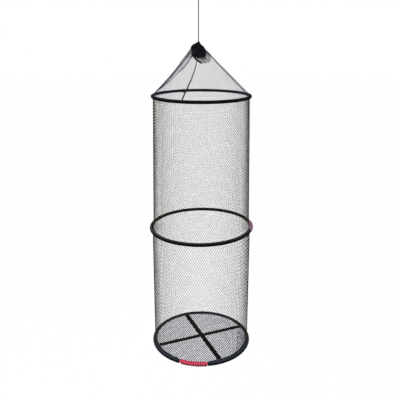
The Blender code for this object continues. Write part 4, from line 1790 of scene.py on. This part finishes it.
    def _fall(
        self, frill: Frill, order: int, across: Array, down: Array
    ) -> tuple[Array, Array]:
        """A layer of frills, from the bunch's top down.

        Its reach is the skirt's or the cone's own, whichever is more, and its pleats grow
        towards its uneven foot.

        Args:
            frill: The layer.
            order: Its place among the layers, which shifts its pleats.
            across: Metres across the flat layer.
            down: Metres down it.

        Returns:
            The point and the outward normal.
        """
        azimuths, feet = np.array(self.skirt_foot).T
        heights, left, right = np.array(self.skirt).T[:, ::-1]
        turn = across * 2 * math.pi / (frill.cells * self.cell) - math.pi
        share = np.clip(down / (frill.rows * self.rise), 0.0, 1.0)
        foot = np.interp((np.degrees(turn) + 180) % 360 - 180, azimuths, feet)
        foot = foot + self.ragged * np.sin(self.tatters * turn + 2 * order)
        z = heights[-1] + share * frill.short * (foot - heights[-1])
        side = 0.5 - 0.5 * np.sin(turn)
        out = side * np.interp(z, heights, left) + (1 - side) * np.interp(z, heights, right)
        out = frill.close * out
        if not frill.tight:
            out = np.maximum(out, self.cone.reach(z, turn))
        pleat = np.sin(self.frill_pleats * turn + 3 * np.sin(2 * turn) + 2 * order)
        pleat = self.frill_pleat * (self.frill_start + share) * pleat
        shift = np.where(z < self.cone.tent[1], 1.0, self.frill_shift) * self.cone.tent_shift
        return stand(out + self.frill_lift + pleat, turn, z, shift), heading(turn)

    def _draw_cord(self) -> None:
        """The draw cord: a spiral round the neck."""
        share = np.linspace(0.0, 1.0, self.cord_points)
        wound = 2 * math.pi * self.cord_turns * share
        radius = self.neck + self.cord / 2 + self.cord_gap
        path = stand(radius, wound, self.cord_top - self.cord_drop * share, 0.0)
        rings = braided(path, heading(wound), self.cord, self.cord_sides)
        dress(Skin().add_tube(rings), "neck_draw_cord", Body.HEAD, Finishes.CORD, ("draw_cord",))

    def _hem(self) -> None:
        """The bound hem, folded out flat on the front of the cone: a tape with a rolled edge."""
        share = np.linspace(0.0, 1.0, self.hem_points)
        start, end = self.hem_slants
        turn = np.radians(self.hem_azimuth + self.hem_round * share)
        slant = (start + (end - start) * share) * self.cone.length
        path, normal = self.cone.point(slant, turn, self.hem / 2 + CLEARANCE)
        closed = np.sqrt(ease(np.minimum(share, 1 - share) / self.hem_closing))
        stitch = 1 + self.hem_stitch * np.sin(2 * math.pi * share * self.hem_stitches)
        radius = self.hem / 2 * self.hem_high * stitch
        radius = radius * (self.hem_end + (1 - self.hem_end) * closed)
        rings = sweep(path, normal, radius[:, None], self.hem_sides, self.hem_wide)
        skin = Skin().add_tube(rings)
        dress(skin, "mouth_hem_tape", Body.HEAD, Finishes.HEM, ("mouth_hem",), CONE_FOLD)


@dataclass(frozen=True)
class Base:
    """The flat net in the bottom hoop, its seam, and the two straps stitched across it.

    Fields:
        net_top, reach, sag: The net's upper side, its radius, and how far its middle hangs.
        cell, rise, joint, twine, tilt: Its diamonds, half a joint, its twine and its turn.
        bend: How far its threads waver.
        seam: The ends of the seam, beyond which a second layer lies.
        seam_twine, seam_tilt, seam_drop: That layer's twine, its turn and how far down it is.
        chain, chain_gap: The radius of the seam's stitches, and how far under it they lie.
        chain_bead, chain_beads: How much one stands out, and how many there are.
        hem_in, hem_up: How far inside and above the hoop's wire the hem cord lies in front.
        hem_back, hem_ends: The share of that at the back, and the cord's ends.
        hem_rib, hem_pitch: How much a rib stands out, and metres from one to the next.
        hem_end, hem_closing: How thin it ends, as a share, and in how many metres.
        strap_off, strap_end: How far off the middle they lie, and where they end.
        strap_azimuth: Where the lower one points.
        strap_waver, strap_waves: How far they waver, and that wave's radians for each metre.
        strap_round: The powers that square their section, up and to the side.
        stitch_run: The shares of its place at which a stitch starts, and that it fills.
        stitch_lift, stitch_thick: How high it lies and rises, and its radius, as shares.
    """

    net_top: float = -1.3879
    reach: float = 0.1925
    sag: float = 0.0012
    cell: float = 0.0098
    rise: float = 0.0165
    joint: float = 0.0007
    twine: float = 0.00195
    tilt: float = 0.10
    bend: float = 0.0006
    seam: tuple[tuple[float, float], tuple[float, float]] = ((0.160, 0.0475), (0.1435, -0.0894))
    seam_twine: float = 0.0011
    seam_tilt: float = -0.15
    seam_drop: float = -0.0012
    chain: float = 0.0008
    chain_gap: float = 0.0004
    chain_bead: float = 0.3
    chain_beads: int = 34
    chain_points: int = 300
    chain_sides: int = 8
    hem_radius: float = 0.0042
    hem_in: float = 0.0075
    hem_up: float = 0.0050
    hem_back: float = 0.35
    hem_ends: tuple[float, float] = (9.0, 332.5)
    hem_rib: float = 0.12
    hem_pitch: float = 0.0084
    hem_end: float = 0.3
    hem_closing: float = 0.010
    hem_waver: float = 0.0004
    hem_seed: int = 5
    hem_points: int = 1400
    hem_sides: int = 10
    strap_wide: float = 0.0198
    strap_thick: float = 0.0012
    strap_off: float = 0.0062
    strap_azimuth: float = 22.5
    strap_end: float = 0.1885
    strap_waver: float = 0.00012
    strap_waves: float = 90.0
    strap_round: tuple[float, float] = (0.4, 0.25)
    strap_points: int = 200
    strap_sides: int = 20
    stitch_side: float = 0.0115
    stitch: float = 0.0008
    per_side: int = 5
    stitch_run: tuple[float, float] = (0.08, 0.84)
    stitch_lift: tuple[float, float] = (0.1, 0.5)
    stitch_thick: float = 0.36
    stitch_points: int = 12
    stitch_sides: int = 8

    def build(self) -> None:
        """Make the net, then what lies on it."""
        skin = self._net(self.tilt, 0.0, self.twine, self._disc)
        dress(skin, "base_net", Body.BOTTOM, Finishes.BASE, ("base_netting",))
        skin = self._net(self.seam_tilt, self.seam_drop, self.seam_twine, self._beyond_seam)
        self._seam_cord(skin)
        dress(skin, "base_net_seam", Body.BOTTOM, Finishes.BASE)
        layer = self.strap_thick + CLEARANCE
        for order, name in enumerate(("base_strap_lower", "base_strap_upper")):
            middle = self.net_top + (order + 1) * layer - self.strap_thick / 2
            self._strap(name, self.strap_azimuth + 90.0 * order, middle)
        self._stitches(self.net_top + 2 * layer + CLEARANCE)
        self._hem()

    def _net(self, tilt: float, drop: float, twine: float, inside: Region) -> Skin:
        """A layer of the flat net, which sags a little to its middle.

        Args:
            tilt: How far its mesh is turned, in radians.
            drop: How far up it lies, below zero if down.
            twine: Its twine's thickness.
            inside: Above zero at the x and y where there is netting.

        Returns:
            The layer's skin.
        """
        lattice = Lattice(self.cell, self.rise, twine, self.joint)
        columns = math.ceil(2 * self.reach / self.cell)
        rows = math.ceil(2 * self.reach / self.rise)

        def place(across: Array, down: Array) -> tuple[Array, Array]:
            """The net level with the hoop, with slow uneven waves in its threads."""
            x, y = tilted(across, down, tilt)
            share = np.hypot(x, y) / self.reach
            bend = self.bend * np.sin(28 * x + 1.0) * np.sin(24 * y)
            z = self.net_top - self.twine + drop - self.sag * (1 - share * share)
            points = np.stack([x + bend + AXIS_X, y + bend, z], axis=-1)
            return points, np.broadcast_to(UP, points.shape)

        def there(across: Array, down: Array) -> Array:
            """Above zero in the region, in metres."""
            return inside(*tilted(across, down, tilt))

        return lattice.knit(-columns, columns, -rows, rows, place, there)

    def _disc(self, x: Array, y: Array) -> Array:
        """Metres inside the circle where the net ends, within the binding."""
        return self.reach - np.hypot(x, y)

    def _beyond_seam(self, x: Array, y: Array) -> Array:
        """Metres inside the doubled part, between the seam's chord and the hoop.

        Args:
            x: Metres to the right of the middle.
            y: Metres behind it.

        Returns:
            Metres to the nearest edge, below zero outside it.
        """
        (ax, ay), (bx, by) = self.seam
        length = math.hypot(bx - ax, by - ay)
        off = ((x - ax) * (ay - by) + (y - ay) * (bx - ax)) / length
        outer = math.copysign(1.0, (self.reach - ax) * (ay - by) - ay * (bx - ax))
        return np.minimum(off * outer, self._disc(x, y))

    def _seam_cord(self, skin: Skin) -> None:
        """A chain of stitches along the seam: a thin cord with one bead per stitch.

        Args:
            skin: Where it is added.
        """
        share = np.linspace(0.0, 1.0, self.chain_points)[:, None]
        start, end = np.array(self.seam)
        height = np.full_like(share, self.net_top - self.twine - self.chain_gap)
        path = np.concatenate([start + (end - start) * share + [AXIS_X, 0.0], height], axis=1)
        beads = 1 + self.chain_bead * np.sin(2 * math.pi * share * self.chain_beads)
        skin.add_tube(sweep(path, UP, self.chain * beads, self.chain_sides))

    def _hem(self) -> None:
        """The base's rolled edge: a cord of drawn-up net inside the hoop, one rib a stitch."""
        turn = np.radians(np.linspace(*self.hem_ends, self.hem_points))
        share = self.hem_back + (1 - self.hem_back) * front(turn)
        waver = self.hem_waver * ripple(turn, np.zeros_like(turn), self.hem_seed)
        height = BOTTOM.height + self.hem_up * share + waver
        path = stand(BOTTOM.radius - self.hem_in, turn, height)
        run = run_length(path)
        ribs = 1 + self.hem_rib * np.cos(2 * math.pi * run / self.hem_pitch)
        closed = ease(np.minimum(run, run[-1] - run) / self.hem_closing)
        radius = self.hem_radius * share * ribs * (self.hem_end + (1 - self.hem_end) * closed)
        skin = Skin().add_tube(sweep(path, UP, radius[:, None], self.hem_sides))
        dress(skin, "base_hem_cord", Body.BOTTOM, Finishes.BASE_HEM)

    def _strap(self, name: str, azimuth: float, middle: float) -> None:
        """A webbing strap from hoop to hoop: a rounded oblong section carried along a line.

        The section is an ellipse whose cosine and sine are each raised to a power.

        Args:
            name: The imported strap's name.
            azimuth: Where it points.
            middle: The height of its middle.
        """
        turn = math.radians(azimuth)
        edge = heading(turn + math.pi / 2)
        half = math.sqrt(self.strap_end**2 - (self.strap_off + self.strap_wide / 2) ** 2)
        along = np.linspace(-half, half, self.strap_points)
        path = along[:, None] * heading(turn) + self.strap_off * edge
        path[:, 0] += AXIS_X
        path[:, 2] = middle + self.strap_waver * np.sin(along * self.strap_waves)
        angle = angles(self.strap_sides)
        up, over = (
            size / 2 * np.sign(wave) * np.abs(wave) ** power
            for size, wave, power in zip((self.strap_thick, self.strap_wide),
                                         (np.cos(angle), np.sin(angle)), self.strap_round)
        )
        rings = path[:, None, :] + up[None, :, None] * UP + over[None, :, None] * edge
        skin = Skin().add_tube(rings[:, ::-1])
        dress(skin, f"{name}_webbing", Body.BOTTOM, Finishes.WEBBING, (name,))

    def _stitches(self, bottom: float) -> None:
        """A square of stitches over the crossing: short loops of thread, end to end.

        Args:
            bottom: The height that they lie on.
        """
        quarters = math.radians(self.strap_azimuth) + math.pi / 2 * np.arange(5)
        sides = heading(quarters)
        middle = self.strap_off * (sides[1] + sides[2]) + [AXIS_X, 0.0, bottom]
        half = self.stitch_side / 2
        share = np.linspace(0.0, 1.0, self.stitch_points)
        hump = np.sin(math.pi * share)
        rise = self.stitch * (self.stitch_lift[0] + self.stitch_lift[1] * hump)
        radius = self.stitch * self.stitch_thick * (0.5 + 0.5 * hump**0.5)
        skin = Skin()
        for along, out in zip(sides[:-1], sides[1:]):
            for k in range(self.per_side):
                at = k + self.stitch_run[0] + self.stitch_run[1] * share
                run = (-1 + 2 * at / self.per_side) * half
                path = middle + run[:, None] * along + half * out + rise[:, None] * UP
                skin.add_tube(sweep(path, UP, radius[:, None], self.stitch_sides))
        dress(skin, "cross_stitches", Body.BOTTOM, Finishes.THREAD, ("strap_cross_stitch",))


@dataclass(frozen=True)
class Lamp:
    """A square soft lamp that the camera doesn't see."""

    name: str
    place: Point
    aim: Point
    size: float
    power: float

    def build(self) -> None:
        """Hang the lamp and turn it to its aim."""
        data = bpy.data.lights.new(self.name, "AREA")
        data.shape, data.size, data.energy = "SQUARE", self.size, self.power
        lamp = link(self.name, data)
        lamp.location = self.place
        aim = Vector(self.aim) - Vector(self.place)
        lamp.rotation_euler = aim.to_track_quat("-Z", "Y").to_euler()
        lamp.visible_camera = False


@dataclass(frozen=True)
class Studio:
    """The camera of the photograph, plain soft lamps and a pale floor.

    Fields:
        lens, sensor, eye, pitch: The camera, which looks up from straight down by pitch.
        floor_z, floor_side, floor_tone: The floor's height, side and own grey.
        ambient: The strength of the even light.
        white: The share of the floor that the camera sees as plain white.
    """

    lens: float = 47.318
    sensor: float = 36.0
    eye: Point = (0.00514, -1.9209, -0.1445)
    pitch: float = 71.646
    floor_z: float = -2.2
    floor_side: float = 40.0
    floor_tone: float = 0.95
    ambient: float = 0.72
    white: float = 0.975
    lamps: tuple[Lamp, ...] = (
        Lamp("overhead", (-0.3, -0.5, 1.3), (0.0, 0.0, -0.8), 1.6, 34.0),
        Lamp("front", (-1.8, -2.8, 0.6), (0.0, 0.0, -0.8), 1.8, 44.0),
    )

    def camera(self) -> None:
        """Stand the camera where the photograph was taken from."""
        data = bpy.data.cameras.new("camera")
        data.lens, data.sensor_width = self.lens, self.sensor
        camera = link("camera", data)
        camera.location = self.eye
        camera.rotation_euler = (math.radians(self.pitch), 0.0, 0.0)
        bpy.context.scene.camera = camera
        bpy.context.scene.view_settings.view_transform = "Standard"

    def light(self) -> None:
        """Fill the room with even light, and hang the lamps."""
        world = bpy.data.worlds.new("studio")
        bpy.context.scene.world = world
        tree = bare_tree(world)
        even, white = (
            put(tree, "ShaderNodeBackground", {0: opaque(WHITE), 1: strength}).outputs[0]
            for strength in (self.ambient, 1.0)
        )
        mix = put(tree, "ShaderNodeMixShader", {0: self._seen(tree), 1: even, 2: white})
        put(tree, "ShaderNodeOutputWorld", {0: mix.outputs[0]})
        for lamp in self.lamps:
            lamp.build()

    @staticmethod
    def _seen(tree: Tree) -> Socket:
        """One for a ray from the camera, or from what mirrors or passes light; else zero.

        Args:
            tree: The tree that needs it.

        Returns:
            The mask.
        """
        path = put(tree, "ShaderNodeLightPath").outputs
        glossy = calc(tree, "ADD", path["Is Camera Ray"], path["Is Glossy Ray"])
        every = calc(tree, "ADD", glossy, path["Is Transmission Ray"])
        return calc(tree, "MINIMUM", every, 1.0)

    def floor(self) -> None:
        """A pale floor well below the net, which shows its shadow faintly."""
        half = self.floor_side / 2
        corners = [(x, y, self.floor_z)
                   for x, y in ((-half, -half), (half, -half), (half, half), (-half, half))]
        mesh = bpy.data.meshes.new("floor")
        mesh.from_pydata(corners, [], [(0, 1, 2, 3)])
        material = bpy.data.materials.new("pale_floor")
        tree = bare_tree(material)
        share = calc(tree, "MULTIPLY", self._seen(tree), self.white)
        plain = put(tree, "ShaderNodeBsdfDiffuse", {0: opaque((self.floor_tone,) * 3)})
        white = put(tree, "ShaderNodeEmission", {0: opaque(WHITE), 1: 1.0})
        both = {0: share, 1: plain.outputs[0], 2: white.outputs[0]}
        mix = put(tree, "ShaderNodeMixShader", both)
        put(tree, "ShaderNodeOutputMaterial", {0: mix.outputs[0]})
        mesh.materials.append(material)
        link("floor", mesh)


def main() -> None:
    """Build the net's pieces in order, from its cord down to its base."""
    logging.basicConfig(level=logging.INFO, format="%(message)s")
    studio = Studio()
    studio.camera()
    parts = (
        HangingCord(),
        Mouth(),
        Cone(),
        Sleeve("upper_sleeve", TOP, MIDDLE, UPPER_FOLD, cells=124, rows=46, halves=2, seed=11,
               insets=(0.0028, 0.0095)),
        Sleeve("lower_sleeve", MIDDLE, BOTTOM, LOWER_FOLD, cells=120, rows=31, halves=1, seed=23,
               insets=(0.0055, 0.0030)),
        Hoop(TOP, (-160.0, 200.0), thick=0.0063, thick_back=0.0056, lift=0.0010,
             lumps=(-157.0, 175.0)),
        Hoop(MIDDLE, (100.4, 430.9), (71.0, 100.3), Finishes.MIDDLE_BINDING,
             Finishes.SHADED_ROPE, thick=0.0075, lean=0.012),
        Hoop(BOTTOM, (7.4, 334.4), (-25.5, 7.3), Finishes.LOW_BINDING, thick=0.0084,
             lift=0.0021, rope=0.0071, lumps=(178.0,)),
        Base(),
    )
    for part in parts:
        part.build()
    studio.light()
    studio.floor()


if __name__ == "__main__":
    main()
